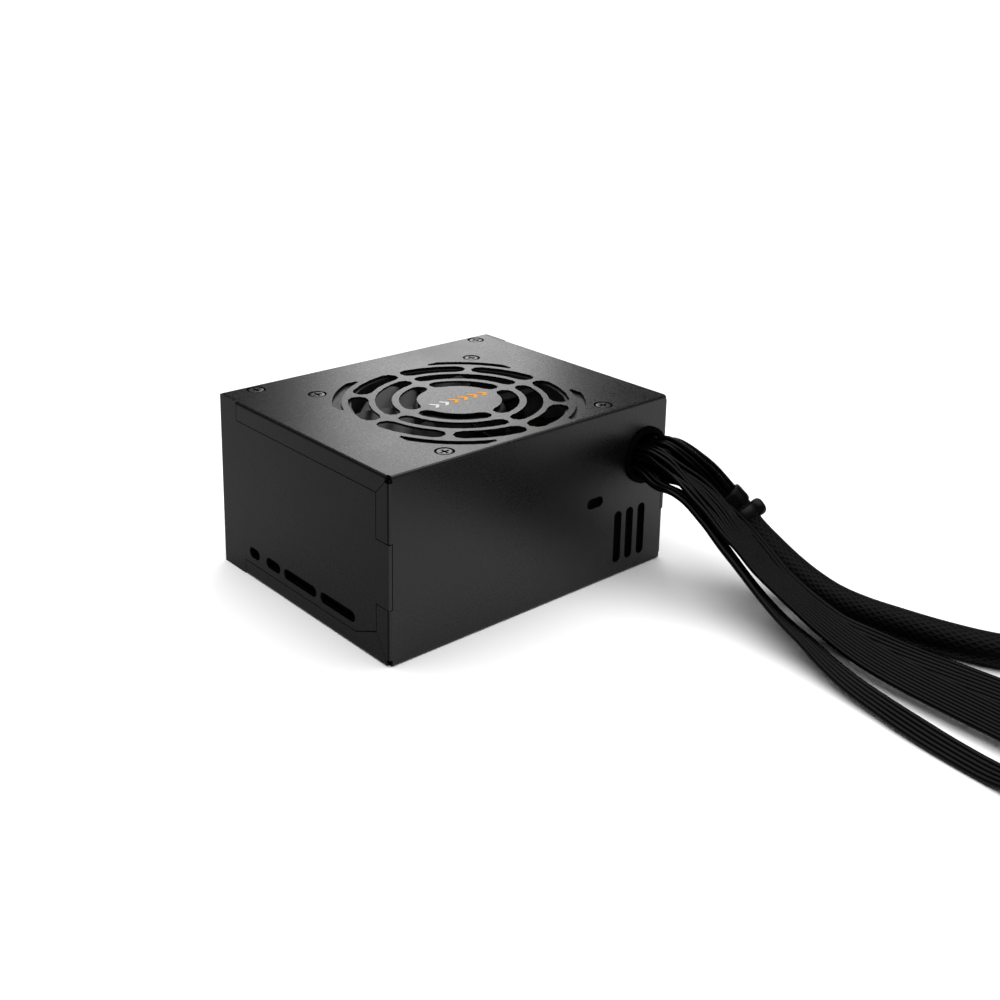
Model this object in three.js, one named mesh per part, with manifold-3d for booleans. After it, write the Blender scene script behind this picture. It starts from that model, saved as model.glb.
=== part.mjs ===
// Small-form-factor (SFX) computer power supply: 125 x 100 x 63.5 mm steel case, 80 mm fan under a
// stamped grille in the top panel, AC inlet and rocker switch at the rear, four captive cables at
// the front.  Millimetres.  +X to the right seen from the front, +Y to the rear, +Z up.
// The origin is the middle of the bottom face.
import * as THREE from "three";
import { mergeVertices } from "three/addons/utils/BufferGeometryUtils.js";
import Module from "manifold-3d";

const wasm = await Module();
wasm.setup();

// ---------------------------------------------------------------- driving dimensions
const W = 125; // case width, X
const D = 100; // case depth, Y
const H = 63.5; // case height, Z
const T = 0.8; // sheet thickness of the wrap shell
const TW = 1.2; // sheet thickness of the U shell with its coating
const BEND = 1; // outside bend radius of the sheet
const GAP = 0.3; // seam between two sheets
const X1 = W / 2;
const Y1 = D / 2;

// fan and grille
const FAN = { x: 0.2, y: -7.5, size: 80, depth: 15, pitch: 71.5, bore: 38 };
const GRILLE = {
  disc: 15, // radius of the solid centre disc
  rings: [
    [15, 21.3, 4],
    [23.8, 29.7, 4],
    [31.9, 39.1, 8],
  ], // inner radius, outer radius, slots
  spoke: 2.1, // width of the bars between slot ends
  corner: [41.3, 44.6, 39.3, 23], // the four corner slots: radii, square half side, first angle
};
const BLADES = 7;

// left and right faces
const TOP_FLANGE = { z: 56.9, y0: -43.5, y1: 38.3 };
const BOTTOM_FLANGE = { z: 5.3, y0: -43.5, y1: 34.9, ramp: -32.2, rise: 9.9 };
const FRONT_TAB = { y: -43.5, upper: 41.6, lower: 19.4 };
const SIDE_SLOTS = [
  [25.4, 32.1],
  [12.2, 21.1],
  [-9.9, 9.8],
  [-31.9, -12.2],
]; // rear to front, from y to y
const SIDE_SLOT_Z = 9.85;
const SIDE_SLOT_H = 3.9;

// front face
const EXIT = { x: 51.6, z: 43.2, hole: 9.6, bore: 8.9, flange: 10.5 };
const FRONT_HOLE = { x: 26.8, z: 31.2, w: 7.8, h: 3.9 };
const FRONT_SLOTS = { xs: [38.7, 44.7, 50.8], w: 3.75, z0: 5.1, z1: 24.9 };

// rear face
const INLET = { x: 36, z: 33 }; // centre of the AC inlet
const SWITCH = { x: 9.5, z: 33, w: 13.2, h: 19.4 };
const VENT = { x0: -55, x1: -5, z0: 9, z1: 55, pitch: 8.6, flat: 6.9 };
const MOUNT_HOLES = [
  [-56.5, 57.4],
  [56.5, 57.4],
  [-56.5, 5.9],
  [56.5, 5.9],
];
const COVER_SCREWS = [
  [-49.8, 46],
  [53.3, 46],
];
const ROCKER_TILT = 9; // rest tilt of the rocker, degrees

// circuit board
const BOARD = { x0: -58.5, x1: 58.5, y0: -46.5, y1: 44, z: 6.2, t: 1.6 };
const BOARD_SCREWS = [
  [-53, -41.5],
  [53, -41.5],
  [-53, 36.5],
  [53, 30],
];

// ---------------------------------------------------------------- solids
// A closed three.js geometry as a manifold solid.
function solid(geo) {
  const g = geo.index ? geo.toNonIndexed() : geo;
  const p = new THREE.BufferGeometry().setAttribute("position", g.getAttribute("position"));
  const m = mergeVertices(p, 1e-4);
  return new wasm.Manifold(
    new wasm.Mesh({
      numProp: 3,
      vertProperties: new Float32Array(m.attributes.position.array),
      triVerts: new Uint32Array(m.index.array),
    }),
  );
}
const union = (...s) => s.flat().reduce((a, b) => a.add(b));
const cut = (a, ...s) => s.flat().reduce((x, b) => x.subtract(b), a);
const meet = (a, b) => a.intersect(b);
const moved = (geo, m) => geo.applyMatrix4(m);
const AXES = {
  z: new THREE.Matrix4(),
  x: new THREE.Matrix4().set(0, 0, 1, 0, 1, 0, 0, 0, 0, 1, 0, 0, 0, 0, 0, 1), // drawn in (y, z)
  y: new THREE.Matrix4().set(0, 1, 0, 0, 0, 0, 1, 0, 1, 0, 0, 0, 0, 0, 0, 1), // drawn in (z, x)
};
// A box from corner to corner.
function box(x0, x1, y0, y1, z0, z1) {
  const g = new THREE.BoxGeometry(x1 - x0, y1 - y0, z1 - z0);
  g.translate((x0 + x1) / 2, (y0 + y1) / 2, (z0 + z1) / 2);
  return solid(g);
}
// A prism along an axis: points are (x, y) for z, (y, z) for x and (x, z) for y.
function prism(axis, points, a, b) {
  const pts = points.map(([p, q]) => (axis === "y" ? new THREE.Vector2(q, p) : new THREE.Vector2(p, q)));
  const g = new THREE.ExtrudeGeometry(new THREE.Shape(pts), { depth: b - a, bevelEnabled: false, steps: 1 });
  g.translate(0, 0, a);
  return solid(moved(g, AXES[axis]));
}
// A cylinder or cone along an axis, through (p, q) across it, from a to b.
function rod(axis, p, q, r, a, b, n = 24, r2 = r) {
  const g = new THREE.CylinderGeometry(r2, r, b - a, n);
  g.rotateX(Math.PI / 2);
  g.translate(0, 0, (a + b) / 2);
  if (axis === "z") g.translate(p, q, 0);
  if (axis === "x") g.applyMatrix4(AXES.x).translate(0, p, q);
  if (axis === "y") g.applyMatrix4(AXES.y).translate(p, 0, q);
  return solid(g);
}
// A body of revolution about the vertical through (x, y): profile points (r, z).
function turned(x, y, profile, n = 24) {
  const g = new THREE.LatheGeometry(profile.map(([r, z]) => new THREE.Vector2(r, z)), n);
  g.rotateX(Math.PI / 2);
  g.translate(x, y, 0);
  let s = solid(g);
  if (s.volume() < 0) {
    const back = new THREE.LatheGeometry([...profile].reverse().map(([r, z]) => new THREE.Vector2(r, z)), n);
    back.rotateX(Math.PI / 2);
    back.translate(x, y, 0);
    s = solid(back);
  }
  return s;
}
const arc = (cx, cy, r, a0, a1, n) =>
  Array.from({ length: n + 1 }, (_, i) => {
    const a = ((a0 + ((a1 - a0) * i) / n) * Math.PI) / 180;
    return [cx + r * Math.cos(a), cy + r * Math.sin(a)];
  });
const roundRect = (cx, cy, w, h, r, n = 3) => [
  ...arc(cx + w / 2 - r, cy + h / 2 - r, r, 0, 90, n),
  ...arc(cx - w / 2 + r, cy + h / 2 - r, r, 90, 180, n),
  ...arc(cx - w / 2 + r, cy - h / 2 + r, r, 180, 270, n),
  ...arc(cx + w / 2 - r, cy - h / 2 + r, r, 270, 360, n),
];
// A slot with round ends, its long side along the first or the second axis.
const slotShape = (x0, x1, y0, y1, n = 5) => roundRect((x0 + x1) / 2, (y0 + y1) / 2, x1 - x0, y1 - y0, Math.min(x1 - x0, y1 - y0) / 2 - 0.001, n);

// ---------------------------------------------------------------- the group
const part = new THREE.Group();
part.name = "power_supply";
const STEEL = () => new THREE.MeshStandardMaterial({ color: 0x2b2c2e, roughness: 0.55, metalness: 0.6 });
const BLACK = () => new THREE.MeshStandardMaterial({ color: 0x111112, roughness: 0.5, metalness: 0 });
const SCREW = () => new THREE.MeshStandardMaterial({ color: 0x1b1b1d, roughness: 0.35, metalness: 0.9 });
const mat = (color, roughness = 0.5, metalness = 0) => () => new THREE.MeshStandardMaterial({ color, roughness, metalness });
function add(name, s, material, parent = part) {
  const m = s.getMesh();
  const g = new THREE.BufferGeometry();
  g.setAttribute("position", new THREE.BufferAttribute(new Float32Array(m.vertProperties), 3));
  g.setIndex(new THREE.BufferAttribute(new Uint32Array(m.triVerts), 1));
  g.computeVertexNormals();
  const mesh = new THREE.Mesh(g, material());
  mesh.name = name;
  parent.add(mesh);
  return mesh;
}
const both = (f) => [f(-1), f(1)];
// Mirrors x for the right-hand side while keeping each polygon closed.
const sx = (s, points) => points.map(([x, y]) => [s * x, y]);

// ---------------------------------------------------------------- wrap shell: top, front and bottom
const R = BEND;
const X0 = X1 - R; // where the flat of the panel ends and the side bend starts
function wrapShell() {
  const outer = [
    [Y1, H],
    ...arc(-Y1 + R, H - R, R, 90, 180, 4),
    ...arc(-Y1 + R, R, R, 180, 270, 4),
    [Y1, 0],
    [Y1, T],
    ...arc(-Y1 + R, R, R - T, 270, 180, 3),
    ...arc(-Y1 + R, H - R, R - T, 180, 90, 3),
    [Y1, H - T],
  ];
  let shell = prism("x", outer, -X0, X0);
  // side flange of the top panel, bottom panel and the two tabs of the front panel
  for (const s of [-1, 1]) {
    const lTop = sx(s, [...arc(X0, H - R, R, 90, 0, 4), [X1, 50], [X1 - T, 50], ...arc(X0, H - R, R - T, 0, 90, 3), [X0 - 0.2, H - T], [X0 - 0.2, H]]);
    const lBot = sx(s, [...arc(X0, R, R, 270, 360, 4), [X1, 14], [X1 - T, 14], ...arc(X0, R, R - T, 360, 270, 3), [X0 - 0.2, T], [X0 - 0.2, 0]]);
    const lFront = sx(s, [...arc(X0, -Y1 + R, R, 270, 360, 4), [X1, -40], [X1 - T, -40], ...arc(X0, -Y1 + R, R - T, 360, 270, 3), [X0 - 0.2, -Y1 + T], [X0 - 0.2, -Y1]]);
    const a = s < 0 ? -X1 - 1 : X0 - 1;
    const b = s < 0 ? -X0 + 1 : X1 + 1;
    const t = TOP_FLANGE;
    const topKeep = [[t.y1, t.z], [t.y0, t.z], [-48.4, 62.1], [-48.4, H + 1], [t.y1, H + 1]];
    const u = BOTTOM_FLANGE;
    const botKeep = [[u.y1, -1], [u.y1, u.z], [u.ramp, u.z], [u.y0, u.rise], [-48.3, 2.4], [-48.3, -1]];
    const f = FRONT_TAB;
    const upKeep = [[-51, f.upper], [f.y, f.upper], [f.y, t.z - 0.35], [-48.2, 61.6], [-51, 61.6]];
    const loKeep = [[-51, f.lower], [-51, 2.4], [-48.55, 2.4], [f.y, u.rise + 0.35], [f.y, f.lower]];
    shell = union(
      shell,
      meet(prism("y", lTop, -48.4, t.y1), prism("x", topKeep, a, b)),
      meet(prism("y", lBot, -48.3, u.y1), prism("x", botKeep, a, b)),
      meet(prism("z", lFront, f.upper, 61.6), prism("x", upKeep, a, b)),
      meet(prism("z", lFront, 2.4, f.lower), prism("x", loKeep, a, b)),
    );
    // relief notches where three bends meet on the left; the right-hand corners are closed up
    if (s < 0) shell = cut(shell, box(-X1 - 1, -X1 + 1.4, -51, -47.9, 61.3, 65), box(-X1 - 1, -X1 + 1.4, -51, -48.2, -1, 2.4));
  }
  // the panels are narrower behind the side flanges, between the side plates of the U shell
  for (const s of [-1, 1]) {
    const c = s < 0 ? [-X1 - 1, -X0 + GAP] : [X0 - GAP, X1 + 1];
    shell = cut(shell, box(c[0], c[1], TOP_FLANGE.y1, Y1 + 1, H - T - 1, H + 1), box(c[0], c[1], BOTTOM_FLANGE.y1, Y1 + 1, -1, T + 1));
    const e = X1 - TW - GAP;
    shell = cut(shell, box(s < 0 ? -X1 - 1 : e, s < 0 ? -e : X1 + 1, -Y1 - 1, -Y1 + T + 1, FRONT_TAB.lower, FRONT_TAB.upper));
  }
  // grille
  const cutters = [];
  const z0 = H - T - 1;
  const z1 = H + 1;
  for (const [r0, r1, n] of GRILLE.rings) {
    const rm = (r0 + r1) / 2;
    const hw = (r1 - r0) / 2;
    const end = (Math.asin((GRILLE.spoke / 2 + hw) / rm) * 180) / Math.PI;
    for (let i = 0; i < n; i++) {
      const a0 = (360 / n) * i + end;
      const a1 = (360 / n) * (i + 1) - end;
      const k = Math.max(3, Math.round((a1 - a0) / 9));
      const cap = (a, from, to) => {
        const t = (a * Math.PI) / 180;
        return arc(FAN.x + rm * Math.cos(t), FAN.y + rm * Math.sin(t), hw, from, to, 4).slice(1, -1);
      };
      cutters.push(
        prism("z", [...arc(FAN.x, FAN.y, r1, a0, a1, k), ...cap(a1, a1, a1 + 180), ...arc(FAN.x, FAN.y, r0, a1, a0, k), ...cap(a0, a0 + 180, a0 + 360)], z0, z1),
      );
    }
  }
  const [cr0, cr1, half, first] = GRILLE.corner;
  const square = box(FAN.x - half, FAN.x + half, FAN.y - half, FAN.y + half, z0, z1);
  for (let i = 0; i < 4; i++)
    cutters.push(meet(square, prism("z", [...arc(FAN.x, FAN.y, cr1, 90 * i + first, 90 * (i + 1) - first, 8), ...arc(FAN.x, FAN.y, cr0, 90 * (i + 1) - first, 90 * i + first, 8)], z0, z1)));
  // countersunk holes for the fan and cover screws
  for (const [x, y] of [...FAN_SCREWS, ...COVER_SCREWS]) cutters.push(rod("z", x, y, 2.6, H - T - 0.4, H + 0.4, 16, 3.7));
  for (const [x, y] of COVER_SCREWS) cutters.push(rod("z", x, y, 4.0, -0.4, T + 0.4, 16, 2.6));
  // front panel: hole, three slots and the cable hole
  cutters.push(prism("y", slotShape(FRONT_HOLE.x - FRONT_HOLE.w / 2, FRONT_HOLE.x + FRONT_HOLE.w / 2, FRONT_HOLE.z - FRONT_HOLE.h / 2, FRONT_HOLE.z + FRONT_HOLE.h / 2), -Y1 - 1, -Y1 + 2));
  for (const x of FRONT_SLOTS.xs) cutters.push(prism("y", slotShape(x - FRONT_SLOTS.w / 2, x + FRONT_SLOTS.w / 2, FRONT_SLOTS.z0, FRONT_SLOTS.z1), -Y1 - 1, -Y1 + 2));
  cutters.push(rod("y", EXIT.x, EXIT.z, EXIT.hole, -Y1 - 1, -Y1 + 2, 32));
  shell = cut(shell, cutters);
  // stamped board standoffs in the bottom panel, each with its screw hole
  for (const [x, y] of BOARD_SCREWS) {
    shell = union(shell, rod("z", x, y, 3.6, T - 0.1, BOARD.z - GAP, 10, 2.9));
    shell = cut(shell, rod("z", x, y, 1.55, -1, BOARD.z + 1, 8));
  }
  return shell;
}
const FAN_SCREWS = [
  [-1, -1],
  [1, -1],
  [-1, 1],
  [1, 1],
].map(([a, b]) => [FAN.x + (a * FAN.pitch) / 2, FAN.y + (b * FAN.pitch) / 2]);
add("wrap_shell", wrapShell(), STEEL);

// ---------------------------------------------------------------- U shell: left, rear and right
function uShell() {
  const profile = [
    [-X1, -Y1],
    [-X1 + TW, -Y1],
    [-X1 + TW, Y1 - TW],
    [X1 - TW, Y1 - TW],
    [X1 - TW, -Y1],
    [X1, -Y1],
    ...arc(X1 - R, Y1 - R, R, 0, 90, 4),
    ...arc(-X1 + R, Y1 - R, R, 90, 180, 4),
  ];
  let shell = prism("z", profile, 0, H);
  const t = TOP_FLANGE;
  const u = BOTTOM_FLANGE;
  const f = FRONT_TAB;
  // room for the flanges and tabs of the wrap shell
  const room = [
    [[t.y1 + GAP, H + 1], [t.y1 + GAP, t.z - GAP], [f.y + GAP, t.z - GAP], [f.y + GAP, f.upper - GAP], [-Y1 - 1, f.upper - GAP], [-Y1 - 1, H + 1]],
    [[u.y1 + GAP, -1], [u.y1 + GAP, u.z + GAP], [u.ramp, u.z + GAP], [f.y + GAP, u.rise + GAP], [f.y + GAP, f.lower + GAP], [-Y1 - 1, f.lower + GAP], [-Y1 - 1, -1]],
  ];
  for (const s of [-1, 1]) {
    const a = s < 0 ? -X1 - 1 : X1 - TW - 0.5;
    const b = s < 0 ? -X1 + TW + 0.5 : X1 + 1;
    for (const p of room) shell = cut(shell, prism("x", p, a, b));
    // joggled strips behind the flanges
    const i0 = s < 0 ? -X1 + TW - 0.1 : X1 - TW - 0.9;
    const i1 = s < 0 ? -X1 + TW + 0.9 : X1 - TW + 0.1;
    const strip = (p) => prism("x", p, i0, i1);
    const top = strip([[t.y1 + 3.4, 53.6], [t.y1 + 3.4, 61.9], [-47.2, 61.9], [-47.2, 38.6], [-40.6, 38.6], [-40.6, 53.6]]);
    const low = strip([[u.y1 + 3.4, 1.6], [u.y1 + 3.4, 7.6], [-33.4, 7.6], [-37.6, 12.9], [-40.6, 12.9], [-40.6, 22.4], [-47.2, 22.4], [-47.2, 1.6]]);
    shell = union(shell, top, low);
    // rounded slots low on the side
    for (const [y0, y1] of SIDE_SLOTS) shell = cut(shell, prism("x", slotShape(y0, y1, SIDE_SLOT_Z - SIDE_SLOT_H / 2, SIDE_SLOT_Z + SIDE_SLOT_H / 2), a - 1, b + 1));
  }
  // the rear wall stands between the top and bottom panels, with a flange under each
  shell = cut(shell, box(-X0, X0, 40, Y1 + 1, H - T - GAP, H + 1), box(-X0, X0, 40, Y1 + 1, -1, T + GAP));
  shell = union(shell, box(-58, 58, 41, Y1 - 1, H - T - GAP - 1, H - T - GAP), box(-58, 58, 41, Y1 - 1, T + GAP, T + GAP + 1));
  const cutters = [];
  for (const [x, y] of COVER_SCREWS) cutters.push(rod("z", x, y, 2.45, H - 3, H, 10), rod("z", x, y, 2.45, 0, 3, 10));
  for (const [x, z] of MOUNT_HOLES) cutters.push(rod("y", x, z, 1.65, Y1 - 3, Y1 + 1, 12));
  cutters.push(prism("y", inletShape(13.6, 9.8, 5.2), Y1 - 3, Y1 + 1));
  cutters.push(box(SWITCH.x - 6.6, SWITCH.x + 6.6, Y1 - 3, Y1 + 1, SWITCH.z - 9.7, SWITCH.z + 9.7));
  // honeycomb vent
  const rh = VENT.flat / 2 / Math.cos(Math.PI / 6);
  let row = 0;
  for (let z = VENT.z0 + VENT.flat / 2; z <= VENT.z1 - VENT.flat / 2 + 0.01; z += VENT.pitch * Math.cos(Math.PI / 6), row++)
    for (let x = VENT.x0 + VENT.flat / 2 + (row % 2 ? VENT.pitch / 2 : 0); x <= VENT.x1 - VENT.flat / 2 + 0.01; x += VENT.pitch) {
      const hex = Array.from({ length: 6 }, (_, k) => {
        const a = (Math.PI / 3) * k + Math.PI / 6;
        return [x + rh * Math.cos(a), z + rh * Math.sin(a)];
      });
      cutters.push(prism("y", hex, Y1 - 3, Y1 + 1));
    }
  return cut(shell, cutters);
}
// Outline of the AC inlet, half width and half height, its two upper corners cut off.
const inletShape = (w, h, c) => [
  [INLET.x - w, INLET.z - h],
  [INLET.x + w, INLET.z - h],
  [INLET.x + w, INLET.z + h - c],
  [INLET.x + w - c, INLET.z + h],
  [INLET.x - w + c, INLET.z + h],
  [INLET.x - w, INLET.z + h - c],
];
add("u_shell", uShell(), STEEL);

// ---------------------------------------------------------------- screws
// Countersunk screw, head at z, pointing down (s = -1) or up (s = 1).
function screw(x, y, z, s, length, r = 1.75) {
  const q = (d) => z + s * d;
  let body = turned(x, y, [[0, q(0.1)], [3.1, q(0.1)], [3.1, q(0.3)], [r, q(1.5)], [r, q(length - 0.8)], [0.6, q(length)], [0, q(length)]], 12);
  if (s > 0) return body;
  const a = Math.min(q(-0.5), q(1.1));
  const b = Math.max(q(-0.5), q(1.1));
  return cut(body, box(x - 1.7, x + 1.7, y - 0.4, y + 0.4, a, b), box(x - 0.4, x + 0.4, y - 1.7, y + 1.7, a, b));
}
FAN_SCREWS.forEach(([x, y], i) => add("fan_screw_" + (i + 1), screw(x, y, H, -1, 10), SCREW));
COVER_SCREWS.forEach(([x, y], i) => {
  add("cover_screw_top_" + (i + 1), screw(x, y, H, -1, 6), SCREW);
  add("cover_screw_bottom_" + (i + 1), screw(x, y, 0, 1, 6), SCREW);
});

// ---------------------------------------------------------------- fan
const FZ1 = H - T - GAP; // top face of the fan frame
const FZ0 = FZ1 - FAN.depth;
function fanFrame() {
  const plate = (z0, z1) => prism("z", roundRect(FAN.x, FAN.y, FAN.size, FAN.size, 3, 3), z0, z1);
  let f = union(plate(FZ1 - 2.4, FZ1), plate(FZ0, FZ0 + 2.4), rod("z", FAN.x, FAN.y, FAN.bore + 1.6, FZ0, FZ1, 36));
  for (const [x, y] of FAN_SCREWS) f = union(f, rod("z", x, y, 4.1, FZ0, FZ1, 12));
  f = cut(f, rod("z", FAN.x, FAN.y, FAN.bore, FZ0 - 1, FZ1 + 1, 36));
  for (const [x, y] of FAN_SCREWS) f = cut(f, rod("z", x, y, 2.45, FZ0 - 1, FZ1 + 1, 10));
  // motor seat, four struts and the bearing tube
  const struts = [45, 135, 225, 315].map((a) => {
    const t = (a * Math.PI) / 180;
    const dir = [Math.cos(t), Math.sin(t)];
    const at = (r, w) => [FAN.x + dir[0] * r - dir[1] * w, FAN.y + dir[1] * r + dir[0] * w];
    return prism("z", [at(12, -1.6), at(39, -1.6), at(39, 1.6), at(12, 1.6)], FZ0, FZ0 + 2);
  });
  f = union(f, struts, rod("z", FAN.x, FAN.y, 15.4, FZ0, FZ0 + 1.8, 20), rod("z", FAN.x, FAN.y, 4.2, FZ0, FZ0 + 9.8, 14));
  return cut(f, rod("z", FAN.x, FAN.y, 2.9, FZ0 + 1, FZ0 + 12, 14));
}
add("fan_frame", fanFrame(), BLACK);
add("fan_bearing", turned(FAN.x, FAN.y, [[1.45, FZ0 + 1.4], [2.6, FZ0 + 1.4], [2.6, FZ0 + 9.6], [1.45, FZ0 + 9.6], [1.45, FZ0 + 1.4]], 20), mat(0xa5824a, 0.4, 0.8));
function stator() {
  let s = turned(FAN.x, FAN.y, [[4.5, FZ0 + 2.6], [12.4, FZ0 + 2.6], [12.4, FZ0 + 8.6], [4.5, FZ0 + 8.6], [4.5, FZ0 + 2.6]], 20);
  for (let i = 0; i < 4; i++) {
    const a = (i * Math.PI) / 2;
    const at = (r, w) => [FAN.x + Math.cos(a) * r - Math.sin(a) * w, FAN.y + Math.sin(a) * r + Math.cos(a) * w];
    s = cut(s, prism("z", [at(7, -0.9), at(14, -0.9), at(14, 0.9), at(7, 0.9)], FZ0, FZ1));
  }
  return s;
}
add("fan_stator", stator(), mat(0x9a5a2c, 0.45, 0.5));
function fanRotor() {
  const z1 = FZ1 - 0.7;
  const z0 = FZ0 + 2.4;
  let r = turned(FAN.x, FAN.y, [[0, z1], [15.6, z1], [16.5, z1 - 0.9], [16.5, z0], [15.2, z0], [15.2, z1 - 1.5], [3, z1 - 1.5], [3, FZ0 + 10.6], [0, FZ0 + 10.6]], 28);
  // swept blades: each a thin curved plate from hub to tip
  const nr = 3;
  const nu = 4;
  for (let b = 0; b < BLADES; b++) {
    const pos = [];
    const idx = [];
    for (let side = 0; side < 2; side++)
      for (let i = 0; i <= nr; i++)
        for (let j = 0; j <= nu; j++) {
          const v = i / nr;
          const u = j / nu;
          const rad = 15.9 + (36.9 - 15.9) * v;
          const chord = 40 + 4 * v;
          const ang = ((BLADES_FIRST + (360 / BLADES) * b + 13 * v * v + chord * (u - 0.5)) * Math.PI) / 180;
          const z = z0 + 0.8 + (z1 - z0 - 2.0) * (1 - u - 0.28 * u * (1 - u)) + (side ? -0.55 : 0.55) * (0.55 + Math.sin(Math.PI * (0.12 + 0.8 * u)) * 0.75);
          pos.push(FAN.x + rad * Math.cos(ang), FAN.y + rad * Math.sin(ang), z);
        }
    const at = (s, i, j) => s * (nr + 1) * (nu + 1) + i * (nu + 1) + j;
    const quad = (a, b2, c, d) => idx.push(a, b2, c, a, c, d);
    for (let i = 0; i < nr; i++)
      for (let j = 0; j < nu; j++) {
        quad(at(0, i, j), at(0, i + 1, j), at(0, i + 1, j + 1), at(0, i, j + 1));
        quad(at(1, i, j), at(1, i, j + 1), at(1, i + 1, j + 1), at(1, i + 1, j));
      }
    for (let i = 0; i < nr; i++) {
      quad(at(0, i, 0), at(1, i, 0), at(1, i + 1, 0), at(0, i + 1, 0));
      quad(at(0, i, nu), at(0, i + 1, nu), at(1, i + 1, nu), at(1, i, nu));
    }
    for (let j = 0; j < nu; j++) {
      quad(at(0, 0, j), at(0, 0, j + 1), at(1, 0, j + 1), at(1, 0, j));
      quad(at(0, nr, j), at(1, nr, j), at(1, nr, j + 1), at(0, nr, j + 1));
    }
    const g = new THREE.BufferGeometry();
    g.setAttribute("position", new THREE.BufferAttribute(new Float32Array(pos), 3));
    g.setIndex(idx);
    r = union(r, solid(g));
  }
  return cut(r, rod("z", FAN.x, FAN.y, 1.4, FZ0 + 10, z1 - 1.2, 16));
}
const BLADES_FIRST = 8;
const spin = new THREE.Group();
spin.name = "fan_spin";
part.add(spin);
add("fan_rotor", fanRotor(), BLACK, spin);
add("fan_shaft", rod("z", FAN.x, FAN.y, 1.34, FZ0 + 1.3, FZ1 - 2.2, 20), mat(0xb8bcc0, 0.2, 1), spin);
add("fan_magnet", turned(FAN.x, FAN.y, [[12.9, FZ0 + 3.4], [14.9, FZ0 + 3.4], [14.9, FZ0 + 10.2], [12.9, FZ0 + 10.2], [12.9, FZ0 + 3.4]], 24), mat(0x3a3a3c, 0.6, 0.4), spin);

// ---------------------------------------------------------------- AC inlet
function inletHousing() {
  let s = union(prism("y", roundRect(INLET.x, INLET.z, 31, 25, 2, 3), Y1 + GAP, Y1 + 2.1), prism("y", inletShape(13.3, 9.5, 5.1), 31.5, Y1 + 1));
  s = cut(s, prism("y", inletShape(12, 8.2, 4.6), 34.5, Y1 + 3));
  for (const [x, z] of INLET_PINS) s = cut(s, box(x - 1.4, x + 1.4, 31, 36, z - 2.4, z + 2.4));
  return s;
}
const INLET_PINS = [
  [INLET.x - 7, INLET.z - 2],
  [INLET.x + 7, INLET.z - 2],
  [INLET.x, INLET.z + 2],
];
add("ac_inlet_housing", inletHousing(), BLACK);
["neutral", "live", "earth"].forEach((n, i) => {
  const [x, z] = INLET_PINS[i];
  add("ac_inlet_pin_" + n, prism("z", [[x - 1, 26.5], [x + 1, 26.5], [x + 1, 46.4], [x + 0.4, 47.4], [x - 0.4, 47.4], [x - 1, 46.4]], z - 2, z + 2), mat(0xc9b37a, 0.25, 1));
});

// ---------------------------------------------------------------- rocker switch
const PIVOT = { y: 46.9, z: SWITCH.z };
function switchHousing() {
  let s = union(prism("y", roundRect(SWITCH.x, SWITCH.z, 15.4, 21.6, 1.4, 3), Y1 + GAP, Y1 + 2), box(SWITCH.x - 6.3, SWITCH.x + 6.3, 36, Y1 + 1, SWITCH.z - 9.4, SWITCH.z + 9.4));
  s = cut(s, box(SWITCH.x - 5.5, SWITCH.x + 5.5, 42, Y1 + 3, SWITCH.z - 8.6, SWITCH.z + 8.6));
  return union(s, box(SWITCH.x - 2.6, SWITCH.x - 1.8, 29.5, 36.5, SWITCH.z - 6.4, SWITCH.z - 1.8), box(SWITCH.x - 2.6, SWITCH.x - 1.8, 29.5, 36.5, SWITCH.z + 1.8, SWITCH.z + 6.4));
}
add("switch_housing", switchHousing(), BLACK);
{
  const half = [[7.2, -1], [7.6, 1.6], [7.6, 4.6], [7.0, 5.2], [3.6, 4.4], [0, 4.0]];
  const outline = [...half, ...half.slice(0, -1).reverse().map(([w, v]) => [-w, v]), [-3, -3.4], [3, -3.4]];
  const t = (ROCKER_TILT * Math.PI) / 180;
  // drawn in (y, z): v points out of the panel, w up it
  const pts = outline.map(([w, v]) => [PIVOT.y + v * Math.cos(t) - w * Math.sin(t), PIVOT.z + w * Math.cos(t) + v * Math.sin(t)]);
  add("switch_rocker", prism("x", pts, SWITCH.x - 5.1, SWITCH.x + 5.1), BLACK);
}

// ---------------------------------------------------------------- board, insulation and what stands on the board
const B1 = BOARD.z + BOARD.t; // top of the board
{
  let b = box(BOARD.x0, BOARD.x1, BOARD.y0, BOARD.y1, BOARD.z, B1);
  for (const [x, y] of BOARD_SCREWS) b = cut(b, rod("z", x, y, 1.9, BOARD.z - 1, B1 + 1, 12));
  add("main_board", b, mat(0x2f5d3a, 0.6));
  // a folded tray: floor, two sides and a front that stand behind the slots of the case
  let i = union(
    box(-59.8, 59.8, -48.4, 40, 3.2, 3.7),
    box(-59.8, -59.3, -48.4, 40, 3.2, 29),
    box(59.3, 59.8, -48.4, 40, 3.2, 29),
    prism("y", [[-59.8, 3.2], [59.8, 3.2], [59.8, 31.5], [40, 31.5], [40, 36], [-59.8, 36]], -48.4, -47.9),
  );
  for (const [x, y] of BOARD_SCREWS) i = cut(i, rod("z", x, y, 4.2, 2, 5, 12));
  add("insulation_sheet", i, mat(0x1d1d1d, 0.5));
}
BOARD_SCREWS.forEach(([x, y], i) => {
  const z = B1 + GAP;
  const s = turned(x, y, [[0, 2.2], [1.25, 2.2], [1.25, z], [2.9, z], [2.9, z + 1.1], [2.2, z + 1.8], [0, z + 1.8]], 10);
  add("board_screw_" + (i + 1), s, mat(0xb9bbbd, 0.3, 1));
});
const C0 = B1 + GAP; // where a component starts
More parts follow.
